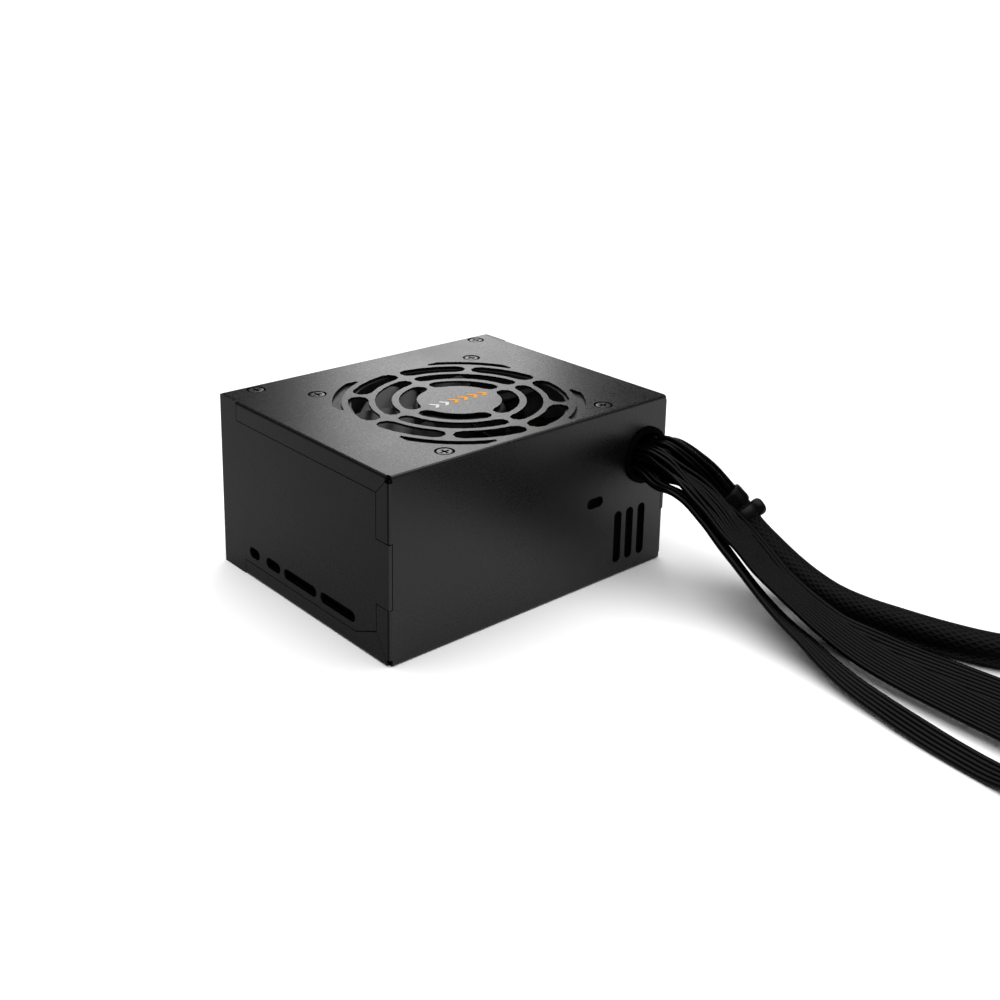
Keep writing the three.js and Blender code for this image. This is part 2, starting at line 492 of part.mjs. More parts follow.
const comb = (x0, x1, y, z1, fins, dir) => {
  const p = [[x0, y - 1.2], [x1, y - 1.2], [x1, y + 1.2]];
  let s = prism("z", [...p, [x0, y + 1.2]], C0, z1);
  const n = fins;
  for (let i = 0; i < n; i++) {
    const x = x0 + 1.5 + ((x1 - x0 - 3) * i) / (n - 1);
    s = union(s, dir > 0 ? box(x - 0.8, x + 0.8, y, y + 7, z1 - 14, z1) : box(x - 0.8, x + 0.8, y - 7, y, z1 - 14, z1));
  }
  return s;
};
add("primary_heatsink", comb(-8, 44, 6, 43, 9, -1), mat(0xaeb2b5, 0.35, 1));
add("secondary_heatsink", comb(-54, -8, -24, 43, 8, -1), mat(0xaeb2b5, 0.35, 1));
const can = (x, y, r, h, n = 24) => turned(x, y, [[0, C0], [r - 0.6, C0], [r, C0 + 0.8], [r, C0 + 1.8], [r - 0.5, C0 + 2.6], [r, C0 + 3.4], [r, C0 + h - 0.7], [r - 0.7, C0 + h], [0, C0 + h]], n);
add("bulk_capacitor", can(-38, 22, 13, 32, 24), mat(0x232a38, 0.35));
add("output_capacitor_1", can(-20, -40, 5, 20, 16), mat(0x1f2c24, 0.35));
add("output_capacitor_2", can(-6, -40, 5, 20, 16), mat(0x1f2c24, 0.35));
const toroid = (x, y, r0, r1, z0, z1) => turned(x, y, [[r0, z0 + 1], [r0 + 1, z0], [r1 - 1.5, z0], [r1, z0 + 1.5], [r1, z1 - 1.5], [r1 - 1.5, z1], [r0 + 1, z1], [r0, z1 - 1], [r0, z0 + 1]], 16);
add("output_choke", toroid(-39, -36.5, 3.4, 11, C0, C0 + 13), mat(0x8c5a2b, 0.4, 0.3));
add("emi_choke", toroid(44, 18, 3.6, 10.5, C0, C0 + 14), mat(0x9a6a30, 0.4, 0.3));
add("pfc_choke", toroid(-6, 24, 4.2, 12.5, C0, C0 + 14.5), mat(0x8f5c2a, 0.4, 0.3));
add("main_transformer", union(box(-2, 30, -23.5, -1.6, C0 + 3, C0 + 27), box(1, 27, -26, -23, C0, C0 + 25)), mat(0x2a2622, 0.6));
add("standby_transformer", union(box(33, 49, -20, -6, C0 + 2, C0 + 17), box(35, 47, -22, -4, C0, C0 + 6)), mat(0xc9a227, 0.5));
add("x_capacitor", box(12, 29, 22, 30, C0, C0 + 14), mat(0xc8a93a, 0.45));
add("bridge_rectifier", box(10, 30, 12, 15.5, C0 + 3, C0 + 21), mat(0x171717, 0.5));

// ---------------------------------------------------------------- leads inside the case
// A smooth curve through points, and a closed tube along it with a section of n sides.
function smooth(points, k) {
  const P = points;
  const ext = (a, b) => a.map((v, i) => 2 * v - b[i]);
  const Q = [ext(P[0], P[1]), ...P, ext(P[P.length - 1], P[P.length - 2])];
  const out = [];
  for (let i = 0; i + 1 < P.length; i++)
    for (let s = 0; s < k; s++) {
      const t = s / k;
      out.push(
        P[0].map((_, c) => {
          const [a, b, d, e] = [Q[i][c], Q[i + 1][c], Q[i + 2][c], Q[i + 3][c]];
          return 0.5 * (2 * b + (-a + d) * t + (2 * a - 5 * b + 4 * d - e) * t * t + (-a + 3 * b - 3 * d + e) * t * t * t);
        }),
      );
    }
  out.push([...P[P.length - 1]]);
  return out;
}
// Tube of a closed section along rows [x, y, z, roll, width, thickness]; width lies across X.
function loft(rows, section, first) {
  const n = section.length;
  const pos = [];
  const up = new THREE.Vector3();
  rows.forEach((r, i) => {
    const a = rows[Math.max(0, i - 1)];
    const b = rows[Math.min(rows.length - 1, i + 1)];
    const t = i === 0 && first ? first.clone() : new THREE.Vector3(b[0] - a[0], b[1] - a[1], b[2] - a[2]).normalize();
    const x = new THREE.Vector3(1, 0, 0).addScaledVector(t, -t.x).normalize();
    up.crossVectors(t, x);
    const roll = (r[3] * Math.PI) / 180;
    const w = x.clone().multiplyScalar(Math.cos(roll)).addScaledVector(up, Math.sin(roll));
    const m = new THREE.Vector3().crossVectors(t, w);
    for (const [p, q] of section) pos.push(...[0, 1, 2].map((c) => r[c] + w.getComponent(c) * p * r[4] * 0.5 + m.getComponent(c) * q * r[5] * 0.5));
  });
  const idx = [];
  for (let i = 0; i + 1 < rows.length; i++)
    for (let j = 0; j < n; j++) {
      const k = (j + 1) % n;
      const [a, b, c, d] = [i * n + j, i * n + k, (i + 1) * n + k, (i + 1) * n + j];
      idx.push(a, c, b, a, d, c);
    }
  for (let j = 1; j + 1 < n; j++) {
    idx.push(0, j, j + 1);
    const e = (rows.length - 1) * n;
    idx.push(e, e + j + 1, e + j);
  }
  const g = new THREE.BufferGeometry();
  g.setAttribute("position", new THREE.BufferAttribute(new Float32Array(pos), 3));
  g.setIndex(idx);
  let s = solid(g);
  if (s.volume() < 0) {
    for (let i = 0; i < idx.length; i += 3) [idx[i], idx[i + 1]] = [idx[i + 1], idx[i]];
    g.setIndex(idx);
    s = solid(g);
  }
  return s;
}
const ROUND = (n) => Array.from({ length: n }, (_, i) => [Math.cos((2 * Math.PI * (i + 0.5)) / n), Math.sin((2 * Math.PI * (i + 0.5)) / n)]);
// Flat cable: a rectangle with cut corners, unit half width and unit half thickness.
const FLAT = [[1, -0.45], [1, 0.45], [0.94, 1], [-0.94, 1], [-1, 0.45], [-1, -0.45], [-0.94, -1], [0.94, -1]];
const lead = (points, d, k = 4, n = 8) => loft(smooth(points.map((p) => [...p, 0, d, d]), k), ROUND(n));
add("fan_lead", lead([[-35, 30, 46], [-44, 37.5, 40], [-52, 38, 27], [-55.5, 31, 15], [-55.5, 24, 8.6]], 2), mat(0x151515, 0.5));
add("output_loom", lead([[EXIT.x, -47.2, EXIT.z], [EXIT.x, -42, EXIT.z - 0.6], [50.6, -36.6, EXIT.z - 5], [49.4, -33.8, 30], [48.6, -33.2, 18], [48.4, -33.2, C0]], 11, 4, 10), mat(0x161616, 0.5));

// ---------------------------------------------------------------- cable grommet
{
  // Turned about the hole's axis: outer flange, neck through the panel, inner flange.
  const { x, z, hole, bore, flange } = EXIT;
  const y = -Y1;
  const ring = (r, a, b, n = 24) => rod("y", x, z, r, a, b, n);
  let s = union(rod("y", x, z, flange - 0.6, y - 1.5, y - 1, 24, flange), ring(flange, y - 1, y - GAP), ring(hole - GAP, y - 0.4, y + T + 0.4), ring(flange - 0.4, y + T + GAP, y + T + GAP + 1.2));
  s = cut(s, ring(bore - 0.2, y - 3, y + 4), box(60.9, 64, y + T + 0.1, y + 5, 30, 56));
  add("cable_grommet", s, BLACK);
}

// ---------------------------------------------------------------- cables
// Every row is x, y, z of the centreline, roll in degrees, width and thickness.
const CPU_ROUTE = [
  [47.4, -52.6, 46, 0, 5.4, 4.3],
  [47.8, -57, 46.2, 0, 5.8, 4.2],
  [47.91, -63, 44.87, -3.29, 8.4, 3],
  [48.69, -70, 42.37, -6.35, 12.2, 2.3],
  [49.58, -77, 39.25, -8.77, 15, 2.1],
  [50.02, -84.5, 34.85, -11.06, 16.8, 2.1],
  [49.86, -91.5, 29.69, -13.62, 17.2, 2.1],
  [50.14, -98.5, 25.23, -16.52, 17.2, 2.1],
  [50.04, -106, 20.37, -16.81, 17.2, 2.1],
  [50.64, -114, 16.38, -15.3, 17.2, 2.1],
  [51.25, -122, 12.95, -12.68, 17.2, 2.1],
  [51.52, -131, 9.59, -9.46, 17.2, 2.1],
  [51.63, -141, 6.79, -6.38, 17.2, 2.1],
  [51.52, -152, 5.09, -3.85, 17.2, 2.1],
  [51.23, -164, 4.44, -2.08, 17.2, 2.1],
  [50.77, -177, 4.3, -1.17, 17.2, 2.1],
  [50.24, -190, 4.28, -1.11, 17.2, 2.1],
  [49.78, -203, 4.21, -0.94, 17.2, 2.1],
  [49.38, -216, 3.58, -0.71, 17.2, 2.1],
  [49.18, -229, 2.13, -0.46, 17.2, 2.1],
  [49.09, -241, 2.24, -0.23, 17.2, 2.1],
  [49.03, -251, 2.18, -0.07, 17.2, 2.1],
  [49, -264, 1.6, 0, 17.2, 2.1],
  [49, -275, 1.22, 0, 17.2, 2.1],
  [49, -280.6, 1.2, 0, 17.2, 2.1],
  [49, -285, 1.2, 0, 17.2, 2.1],
  [49, -288.8, 2.22, 0, 17.2, 2.1],
  [49, -291.58, 5, 0, 17.2, 2.1],
  [49, -292.6, 8.8, 0, 17.2, 2.1],
  [49, -291.58, 12.6, 0, 17.2, 2.1],
  [49, -288.8, 15.38, 0, 17.2, 2.1],
  [49, -285, 16.4, 0, 17.2, 2.1],
  [49, -280.4, 15.88, 0, 17.2, 2.1],
  [49, -274, 13.49, 0, 17.2, 2.1],
  [49, -266.5, 9.64, 0, 17.2, 2.1],
  [49, -259, 6.38, 0, 17.2, 2.1],
  [49, -250, 4.75, 0, 17.2, 2.1],
  [49, -244.38, 4.75, 0, 17.2, 2.1],
  [49, -234.38, 7.58, 0, 17.2, 2.1],
  [49, -224.38, 10.4, 0, 17.2, 2.1],
];
const PCIE_ROUTE = [
  [51.6, -52.6, 37.8, 0, 5.4, 4],
  [51.6, -57, 38.1, 0, 5.6, 3.8],
  [52.62, -63, 38.81, -5.86, 6.8, 3.2],
  [53.52, -69.6, 38.3, -10.73, 9, 2.5],
  [55.02, -75.8, 35.3, -14.29, 12.6, 2.2],
  [56.47, -82.93, 30.54, -14.97, 15.8, 2.1],
  [57.89, -89.77, 25.24, -12.6, 17.2, 2.1],
  [58.69, -96.61, 20.29, -11.21, 17.2, 2.1],
  [58.47, -103.95, 15.45, -10.45, 17.2, 2.1],
  [58.72, -111.84, 11.58, -9.67, 17.2, 2.1],
  [59.19, -120.01, 8.31, -8.46, 17.2, 2.1],
  [60.15, -129.46, 5.3, -6.7, 17.2, 2.1],
  [62.37, -140.15, 3.1, 1.56, 17.2, 2.1],
  [64.93, -151.84, 1.97, 0.72, 17.2, 2.1],
  [67.28, -164.26, 1.41, 0.26, 17.2, 2.1],
  [69.09, -177.44, 1.27, 0.06, 17.2, 2.1],
  [70.4, -190.44, 1.2, 0, 17.2, 2.1],
  [70.4, -203.32, 1.2, 0, 17.2, 2.1],
  [70.4, -216.04, 1.2, 0, 17.2, 2.1],
  [70.4, -228.99, 1.2, 0, 17.2, 2.1],
  [70.4, -241.09, 2.15, 0, 17.2, 2.1],
  [70.4, -250.97, 2.15, 0, 17.2, 2.1],
  [70.4, -263.93, 1.6, 0, 17.2, 2.1],
  [70.4, -270.95, 1.22, 0, 17.2, 2.1],
  [70.4, -276.55, 1.2, 0, 17.2, 2.1],
  [70.4, -280.95, 1.2, 0, 17.2, 2.1],
  [70.4, -284.75, 2.22, 0, 17.2, 2.1],
  [70.4, -287.53, 5, 0, 17.2, 2.1],
  [70.4, -288.55, 8.8, 0, 17.2, 2.1],
  [70.4, -287.53, 12.6, 0, 17.2, 2.1],
  [70.4, -284.75, 15.38, 0, 17.2, 2.1],
  [70.4, -280.95, 16.4, 0, 17.2, 2.1],
  [70.4, -276.35, 15.88, 0, 17.2, 2.1],
  [70.4, -269.95, 13.49, 0, 17.2, 2.1],
  [70.4, -262.45, 9.64, 0, 17.2, 2.1],
  [70.4, -254.95, 6.38, 0, 17.2, 2.1],
  [70.4, -245.95, 4.75, 0, 17.2, 2.1],
  [70.4, -232.76, 4.75, 0, 17.2, 2.1],
  [70.4, -224.76, 6.18, 0, 17.2, 2.1],
  [70.4, -216.76, 7.6, 0, 17.2, 2.1],
];
const SATA_ROUTE = [
  [46.2, -52.6, 40.2, -4, 4.6, 3],
  [45.5, -57, 39.2, -8, 5, 2.9],
  [44.98, -63, 37.34, -15.39, 6.4, 2.5],
  [45.63, -70, 36.59, -19.97, 8.8, 2.2],
  [46.06, -77, 34.47, -22.89, 10.2, 2.1],
  [45.42, -84.5, 30.49, -25.97, 10.6, 2.1],
  [44.39, -91.5, 26.19, -29.35, 10.6, 2.1],
  [43.95, -98.5, 21.78, -32.49, 10.6, 2.1],
  [43.27, -106, 17.37, -33.27, 10.6, 2.1],
  [42.22, -114, 13.48, -30.89, 10.6, 2.1],
  [41.31, -122, 10.27, -26.43, 10.6, 2.1],
  [40.28, -131, 7.67, -19.81, 10.6, 2.1],
  [38.46, -141, 4.84, -13.01, 10.6, 2.1],
  [36.5, -152, 2.95, -6.63, 10.6, 2.1],
  [34.49, -164, 2.09, -2.97, 10.6, 2.1],
  [32.6, -175, 1.7, 0, 10.6, 2.1],
  [31.2, -186, 1.35, 0, 10.6, 2.1],
  [30, -199, 1.3, 0, 10.6, 2.1],
  [29.3, -207.5, 2.3, 0, 10.6, 2.1],
  [28.95, -214, 3.2, 0, 10.6, 2.1],
  [28.75, -221.5, 3.2, 0, 10.6, 2.1],
  [28.6, -229, 2.2, 0, 10.6, 2.1],
  [28.5, -237.5, 1.2, 0, 10.6, 2.1],
  [28.5, -252, 1.15, 0, 10.6, 2.1],
  [28.5, -270, 1.15, 0, 10.6, 2.1],
  [28.5, -283, 1.17, 0, 10.6, 2.1],
  [28.5, -288.6, 1.15, 0, 10.6, 2.1],
  [28.5, -293, 1.15, 0, 10.6, 2.1],
  [28.5, -296.2, 2.01, 0, 10.6, 2.1],
  [28.5, -298.54, 4.35, 0, 10.6, 2.1],
  [28.5, -299.4, 7.55, 0, 10.6, 2.1],
  [28.5, -298.54, 10.75, 0, 10.6, 2.1],
  [28.5, -296.2, 13.09, 0, 10.6, 2.1],
  [28.5, -293, 13.95, 0, 10.6, 2.1],
  [28.5, -289.69, 13.49, 0, 10.6, 2.1],
  [28.5, -285.08, 11.39, 0, 10.6, 2.1],
  [28.5, -279.68, 8, 0, 10.6, 2.1],
  [28.5, -274.28, 5.14, 0, 10.6, 2.1],
  [28.5, -267.8, 3.7, 0, 10.6, 2.1],
  [28.5, -261.47, 3.7, 0, 10.6, 2.1],
  [28.5, -255.97, 4.45, 0, 10.6, 2.1],
  [28.5, -250.47, 5.2, 0, 10.6, 2.1],
];
const ATX_ROUTE = [
  [55.2, -52.6, 45.7, 0, 9, 9],
  [56.96, -57.5, 46.59, 0, 9.2, 9.2],
  [60.63, -62.42, 43.35, 0, 9.8, 9.8],
  [64.36, -67.64, 38.39, 0, 10.3, 10.3],
  [67.67, -73.32, 32.44, 0, 9.8, 9.8],
  [70.3, -78.52, 27.23, 0, 9.6, 9.6],
  [71.3, -84.61, 21.27, 0, 9.9, 9.9],
  [72.03, -92.05, 16.4, 0, 10.4, 10.4],
  [72.35, -100.39, 12.26, 0, 10.6, 10.6],
  [72.88, -109.49, 8.93, 0, 10.6, 10.6],
  [73.64, -119.04, 6.68, 0, 10.6, 10.6],
  [74.98, -129.42, 5.75, 0, 10.6, 10.6],
  [77.17, -141.67, 5.62, 0, 10.6, 10.6],
  [80.1, -154.85, 5.6, 0, 10.6, 10.6],
  [84.66, -168, 5.6, 0, 10.6, 10.6],
  [91.91, -180.5, 5.6, 0, 10.6, 10.6],
  [99.55, -193.5, 5.6, 0, 10.6, 10.6],
  [105.99, -207.5, 5.6, 0, 10.6, 10.6],
  [110.6, -222.5, 5.6, 0, 10.6, 10.6],
  [112.8, -238, 5.6, 0, 10.6, 10.6],
  [112.9, -253, 5.6, 0, 10.6, 10.6],
  [112.2, -265.34, 5.55, 0, 10.6, 10.6],
  [111.6, -277.68, 5.5, 0, 10.6, 10.6],
];
// The last rows of a flat cable fold back over its first run.
const OUT = new THREE.Vector3(0, -1, 0); // out of the front panel
add("cpu_cable", loft(CPU_ROUTE, FLAT, OUT), BLACK);
add("pcie_cable", loft(PCIE_ROUTE, FLAT, OUT), BLACK);
add("sata_cable", loft(SATA_ROUTE, FLAT, OUT), BLACK);
add("atx_cable", loft(ATX_ROUTE, ROUND(10), OUT), BLACK);

// Collar and tie round the main cable where the loose wires enter the sleeve: a ring of inner and
// outer radius from arc length a to b along the route.
function collar(route, a, b, r0, r1, extra) {
  const rows = smooth(route, 10);
  const run = [0];
  for (let i = 1; i < rows.length; i++) run.push(run[i - 1] + Math.hypot(rows[i][0] - rows[i - 1][0], rows[i][1] - rows[i - 1][1], rows[i][2] - rows[i - 1][2]));
  const at = (s) => {
    const i = run.findIndex((v) => v >= s);
    const f = (s - run[i - 1]) / (run[i] - run[i - 1]);
    return rows[i].map((v, c) => rows[i - 1][c] + (v - rows[i - 1][c]) * f);
  };
  const n = Math.max(2, Math.ceil((b - a) / 3) + 1);
  const line = (e, r) => Array.from({ length: n }, (_, i) => { const q = at(a - e + ((b - a + 2 * e) * i) / (n - 1)); return [q[0], q[1], q[2], 0, 2 * r, 2 * r]; });
  let s = loft(line(0, r1), ROUND(12));
  if (extra) s = union(s, extra(at((a + b) / 2)));
  return cut(s, loft(line(1.5, r0), ROUND(12)));
}
add("atx_heat_shrink", collar(ATX_ROUTE, 30.8, 36.8, 5.3, 5.85), BLACK);
add("atx_cable_tie", collar(ATX_ROUTE, 38.6, 42.8, 5.3, 6.3, (c) => box(c[0] + 2.2, c[0] + 7.2, c[1] - 5.3, c[1] - 0.3, c[2] + 1.6, c[2] + 6.6)), BLACK);

// Ties round the two runs of each folded cable.
const tie = (x, y, w, z0, z1) => cut(prism("y", roundRect(x, (z0 + z1) / 2, w + 1.8, z1 - z0 + 1.8, 1.2, 3), y - 2, y + 2), box(x - w / 2, x + w / 2, y - 3, y + 3, z0, z1));
add("cpu_cable_tie", tie(49, -246, 18, 0.95, 6.2), BLACK);
add("pcie_cable_tie", tie(70.4, -246, 18, 0.95, 6.2), BLACK);

// Plugs.  A plug body with its row of square sockets at the free end.
function plug(x, y, z, cols, s, length = 19, h = 9.6, w = cols * 4.2 + 0.5) {
  const y0 = Math.min(y, y + s * length);
  let p = box(x - w / 2, x + w / 2, y0, y0 + length, z - h / 2, z + h / 2);
  const ye = s > 0 ? y0 + length : y0;
  for (let i = 0; i < cols; i++)
    for (const r of [-1, 1]) {
      const cx = x + (i - (cols - 1) / 2) * 4.2;
      const cz = z + r * 2.1;
      p = cut(p, box(cx - 1.3, cx + 1.3, s > 0 ? ye - 6 : ye - 1, s > 0 ? ye + 1 : ye + 6, cz - 1.3, cz + 1.3));
    }
  return p;
}
const last = (r) => r[r.length - 1];
{
  const [x, y, z] = last(CPU_ROUTE);
  add("cpu_plug_a", plug(x - 4.6, y + GAP, z, 2, 1), BLACK);
  add("cpu_plug_b", plug(x + 4.6, y + GAP, z, 2, 1), BLACK);
}
{
  const [x, y, z] = last(PCIE_ROUTE);
  add("pcie_plug_6_pin", plug(x - 2.4, y + GAP, z, 3, 1), BLACK);
  add("pcie_plug_2_pin", plug(x + 6.95, y + GAP, z, 1, 1, 19, 9.6, 4.7), BLACK);
}
{
  // the sleeve ends in a flat fan of single wires, then the wide plug and its four-pin block
  const [x, y, z] = last(ATX_ROUTE);
  add("atx_wire_fan", prism("z", [[x - 4.2, y - GAP], [x + 4.2, y - GAP], [x + 25, y - 22], [x - 25, y - 22]], z - 3.4, z + 3.4), BLACK);
  add("atx_plug_20_pin", plug(x - 4.95, y - 22 - GAP, z, 10, -1), BLACK);
  add("atx_plug_4_pin", plug(x + 21.7, y - 22 - GAP, z, 2, -1), BLACK);
}
{
  const [x, y, z] = last(SATA_ROUTE);
  const body = (cx, y0, y1, z0, z1) => union(box(cx - 10.3, cx + 10.3, y0, y1, z0, z1), box(cx - 9, cx + 9, y0 + 1, y1 - 1, z1 - 0.2, z1 + 0.6));
  let end = body(x, y + GAP, y + 15, z - 2.5, z + 2.5);
  end = cut(end, prism("z", [[x - 8.6, y + 10], [x + 8.6, y + 10], [x + 8.6, y + 16], [x - 8.6, y + 16]], z - 0.9, z + 0.9));
  add("sata_plug_end", end, BLACK);
  // the first plug is crimped on the ribbon, which runs through it
  let mid = body(28.9, -226, -211, 0.15, 5.8);
  mid = cut(mid, prism("y", roundRect(28.9, 3.05, 12.6, 3.6, 0.4, 1), -228, -209));
  add("sata_plug_middle", mid, BLACK);
}

export default part;
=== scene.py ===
# Compact computer power supply: case, fan, rear inlet and switch, and four captive cables.
# Metres, +X to the right seen from the front, +Y to the rear, +Z up.
import math
import random

import bpy
import bmesh
from mathutils import Vector, Matrix


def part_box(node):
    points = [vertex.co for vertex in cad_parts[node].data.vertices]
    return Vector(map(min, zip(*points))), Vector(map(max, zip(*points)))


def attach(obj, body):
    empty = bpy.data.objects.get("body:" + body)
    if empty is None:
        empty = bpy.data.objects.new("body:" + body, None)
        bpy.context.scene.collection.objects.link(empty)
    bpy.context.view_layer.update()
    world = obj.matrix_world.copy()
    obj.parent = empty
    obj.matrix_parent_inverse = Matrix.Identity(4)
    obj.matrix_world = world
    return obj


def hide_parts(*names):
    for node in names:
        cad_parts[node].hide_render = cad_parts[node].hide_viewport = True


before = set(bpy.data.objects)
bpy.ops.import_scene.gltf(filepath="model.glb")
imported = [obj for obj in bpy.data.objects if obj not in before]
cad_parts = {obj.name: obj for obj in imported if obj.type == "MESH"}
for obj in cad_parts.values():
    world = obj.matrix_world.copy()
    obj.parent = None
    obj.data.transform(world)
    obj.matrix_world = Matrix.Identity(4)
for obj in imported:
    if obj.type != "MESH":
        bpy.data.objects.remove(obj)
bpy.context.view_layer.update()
MM = 0.001
scene = bpy.context.scene
random.seed(7)


# ------------------------------------------------------------------ camera
def make_camera():
    data = bpy.data.cameras.new("camera")
    data.sensor_width = 36.0
    data.lens = 47.353
    data.shift_y = -0.2
    data.clip_start, data.clip_end = 0.01, 50
    cam = bpy.data.objects.new("camera", data)
    right = Vector((0.749976, -0.661222, 0.017906))
    up = Vector((0.152704, 0.199414, 0.967944))
    back = Vector((-0.643597, -0.723201, 0.250527))
    m = Matrix((right, up, back)).transposed().to_4x4()
    m.translation = Vector((-0.282022, -0.34518, 0.213775))
    cam.matrix_world = m
    scene.collection.objects.link(cam)
    scene.camera = cam


make_camera()


# ------------------------------------------------------------------ materials
def nodes_of(name):
    m = bpy.data.materials.new(name)
    m.use_nodes = True
    nt = m.node_tree
    bsdf = nt.nodes["Principled BSDF"]
    return m, nt, bsdf


def coords(nt, kind="Object"):
    return nt.nodes.new("ShaderNodeTexCoord").outputs[kind]


def noise(nt, co, scale, detail=2.0, rough=0.5):
    n = nt.nodes.new("ShaderNodeTexNoise")
    n.inputs["Scale"].default_value = scale
    n.inputs["Detail"].default_value = detail
    n.inputs["Roughness"].default_value = rough
    nt.links.new(co, n.inputs["Vector"])
    return n.outputs["Fac"]


def span(nt, value, a, b, lo=0.3, hi=0.7):
    r = nt.nodes.new("ShaderNodeMapRange")
    r.inputs["From Min"].default_value = lo
    r.inputs["From Max"].default_value = hi
    r.inputs["To Min"].default_value = a
    r.inputs["To Max"].default_value = b
    nt.links.new(value, r.inputs["Value"])
    return r.outputs["Result"]


def blend_colour(nt, value, a, b):
    m = nt.nodes.new("ShaderNodeMix")
    m.data_type = "RGBA"
    m.inputs[6].default_value = (*a, 1)
    m.inputs[7].default_value = (*b, 1)
    nt.links.new(value, m.inputs[0])
    return m.outputs[2]


def bump(nt, bsdf, height, strength, distance, after=None):
    b = nt.nodes.new("ShaderNodeBump")
    b.inputs["Strength"].default_value = strength
    b.inputs["Distance"].default_value = distance
    nt.links.new(height, b.inputs["Height"])
    if after is not None:
        nt.links.new(after, b.inputs["Normal"])
    nt.links.new(b.outputs["Normal"], bsdf.inputs["Normal"])
    return b.outputs["Normal"]


def surface(name, a, b, rough, grain, depth, metallic=0.0, spec=0.5, strength=0.5, detail=2.0, coat=0.0):
    """Two close colours mixed by noise, roughness that varies with it, and a fine bump of the same grain."""
    m, nt, bsdf = nodes_of(name)
    co = coords(nt)
    broad = noise(nt, co, grain * 0.06, 3.0)
    fine = noise(nt, co, grain, detail)
    nt.links.new(blend_colour(nt, span(nt, broad, 0, 1), a, b), bsdf.inputs["Base Color"])
    nt.links.new(span(nt, fine, rough[0], rough[1]), bsdf.inputs["Roughness"])
    bump(nt, bsdf, fine, strength, depth)
    bsdf.inputs["Metallic"].default_value = metallic
    bsdf.inputs["Specular IOR Level"].default_value = spec
    if coat:
        bsdf.inputs["Coat Weight"].default_value = coat
        bsdf.inputs["Coat Roughness"].default_value = 0.25
    return m


def powder_coat(name, spec, dark=0.0016, light=0.0046):
    """Black powder coat: orange-peel grain under half a millimetre over a slow unevenness."""
    m, nt, bsdf = nodes_of(name)
    co = coords(nt)
    peel = noise(nt, co, 1500, 2.0, 0.6)
    slow = noise(nt, co, 26, 2.0)
    nt.links.new(blend_colour(nt, span(nt, peel, 0, 1, 0.25, 0.75), (dark, dark, dark * 1.08), (light, light, light * 1.08)), bsdf.inputs["Base Color"])
    r = nt.nodes.new("ShaderNodeMath")
    r.operation = "ADD"
    nt.links.new(span(nt, peel, -0.04, 0.04), r.inputs[0])
    nt.links.new(span(nt, slow, 0.27, 0.32), r.inputs[1])
    nt.links.new(r.outputs[0], bsdf.inputs["Roughness"])
    bump(nt, bsdf, peel, 0.18, 0.00004)
    bsdf.inputs["Specular IOR Level"].default_value = spec
    return m


def braid():
    """Braided sleeve: two sets of strands crossing on the bias, over and under, from the tube's own UVs in metres."""
    m, nt, bsdf = nodes_of("braided_sleeve")
    sep = nt.nodes.new("ShaderNodeSeparateXYZ")
    nt.links.new(coords(nt, "UV"), sep.inputs[0])

    def math_node(op, x, y=None, value=None):
        n = nt.nodes.new("ShaderNodeMath")
        n.operation = op
        nt.links.new(x, n.inputs[0])
        if y is not None:
            nt.links.new(y, n.inputs[1])
        elif value is not None:
            n.inputs[1].default_value = value
        return n.outputs[0]

    u = math_node("MULTIPLY", sep.outputs[0], value=2 * math.pi * 16)
    v = math_node("MULTIPLY", sep.outputs[1], value=2 * math.pi / 0.0032)
    a = math_node("SINE", math_node("ADD", u, v))
    b = math_node("SINE", math_node("SUBTRACT", u, v))
    weave = math_node("MAXIMUM", a, b)
    fine = noise(nt, coords(nt), 3500, 1.0)
    h = math_node("ADD", weave, math_node("MULTIPLY", fine, value=0.5))
    nt.links.new(blend_colour(nt, span(nt, weave, 0, 1, -0.2, 1.0), (0.001, 0.001, 0.0011), (0.0024, 0.0024, 0.0026)), bsdf.inputs["Base Color"])
    nt.links.new(span(nt, weave, 0.62, 0.42, -0.2, 1.0), bsdf.inputs["Roughness"])
    bump(nt, bsdf, h, 0.6, 0.0002)
    bsdf.inputs["Specular IOR Level"].default_value = 0.05
    return m


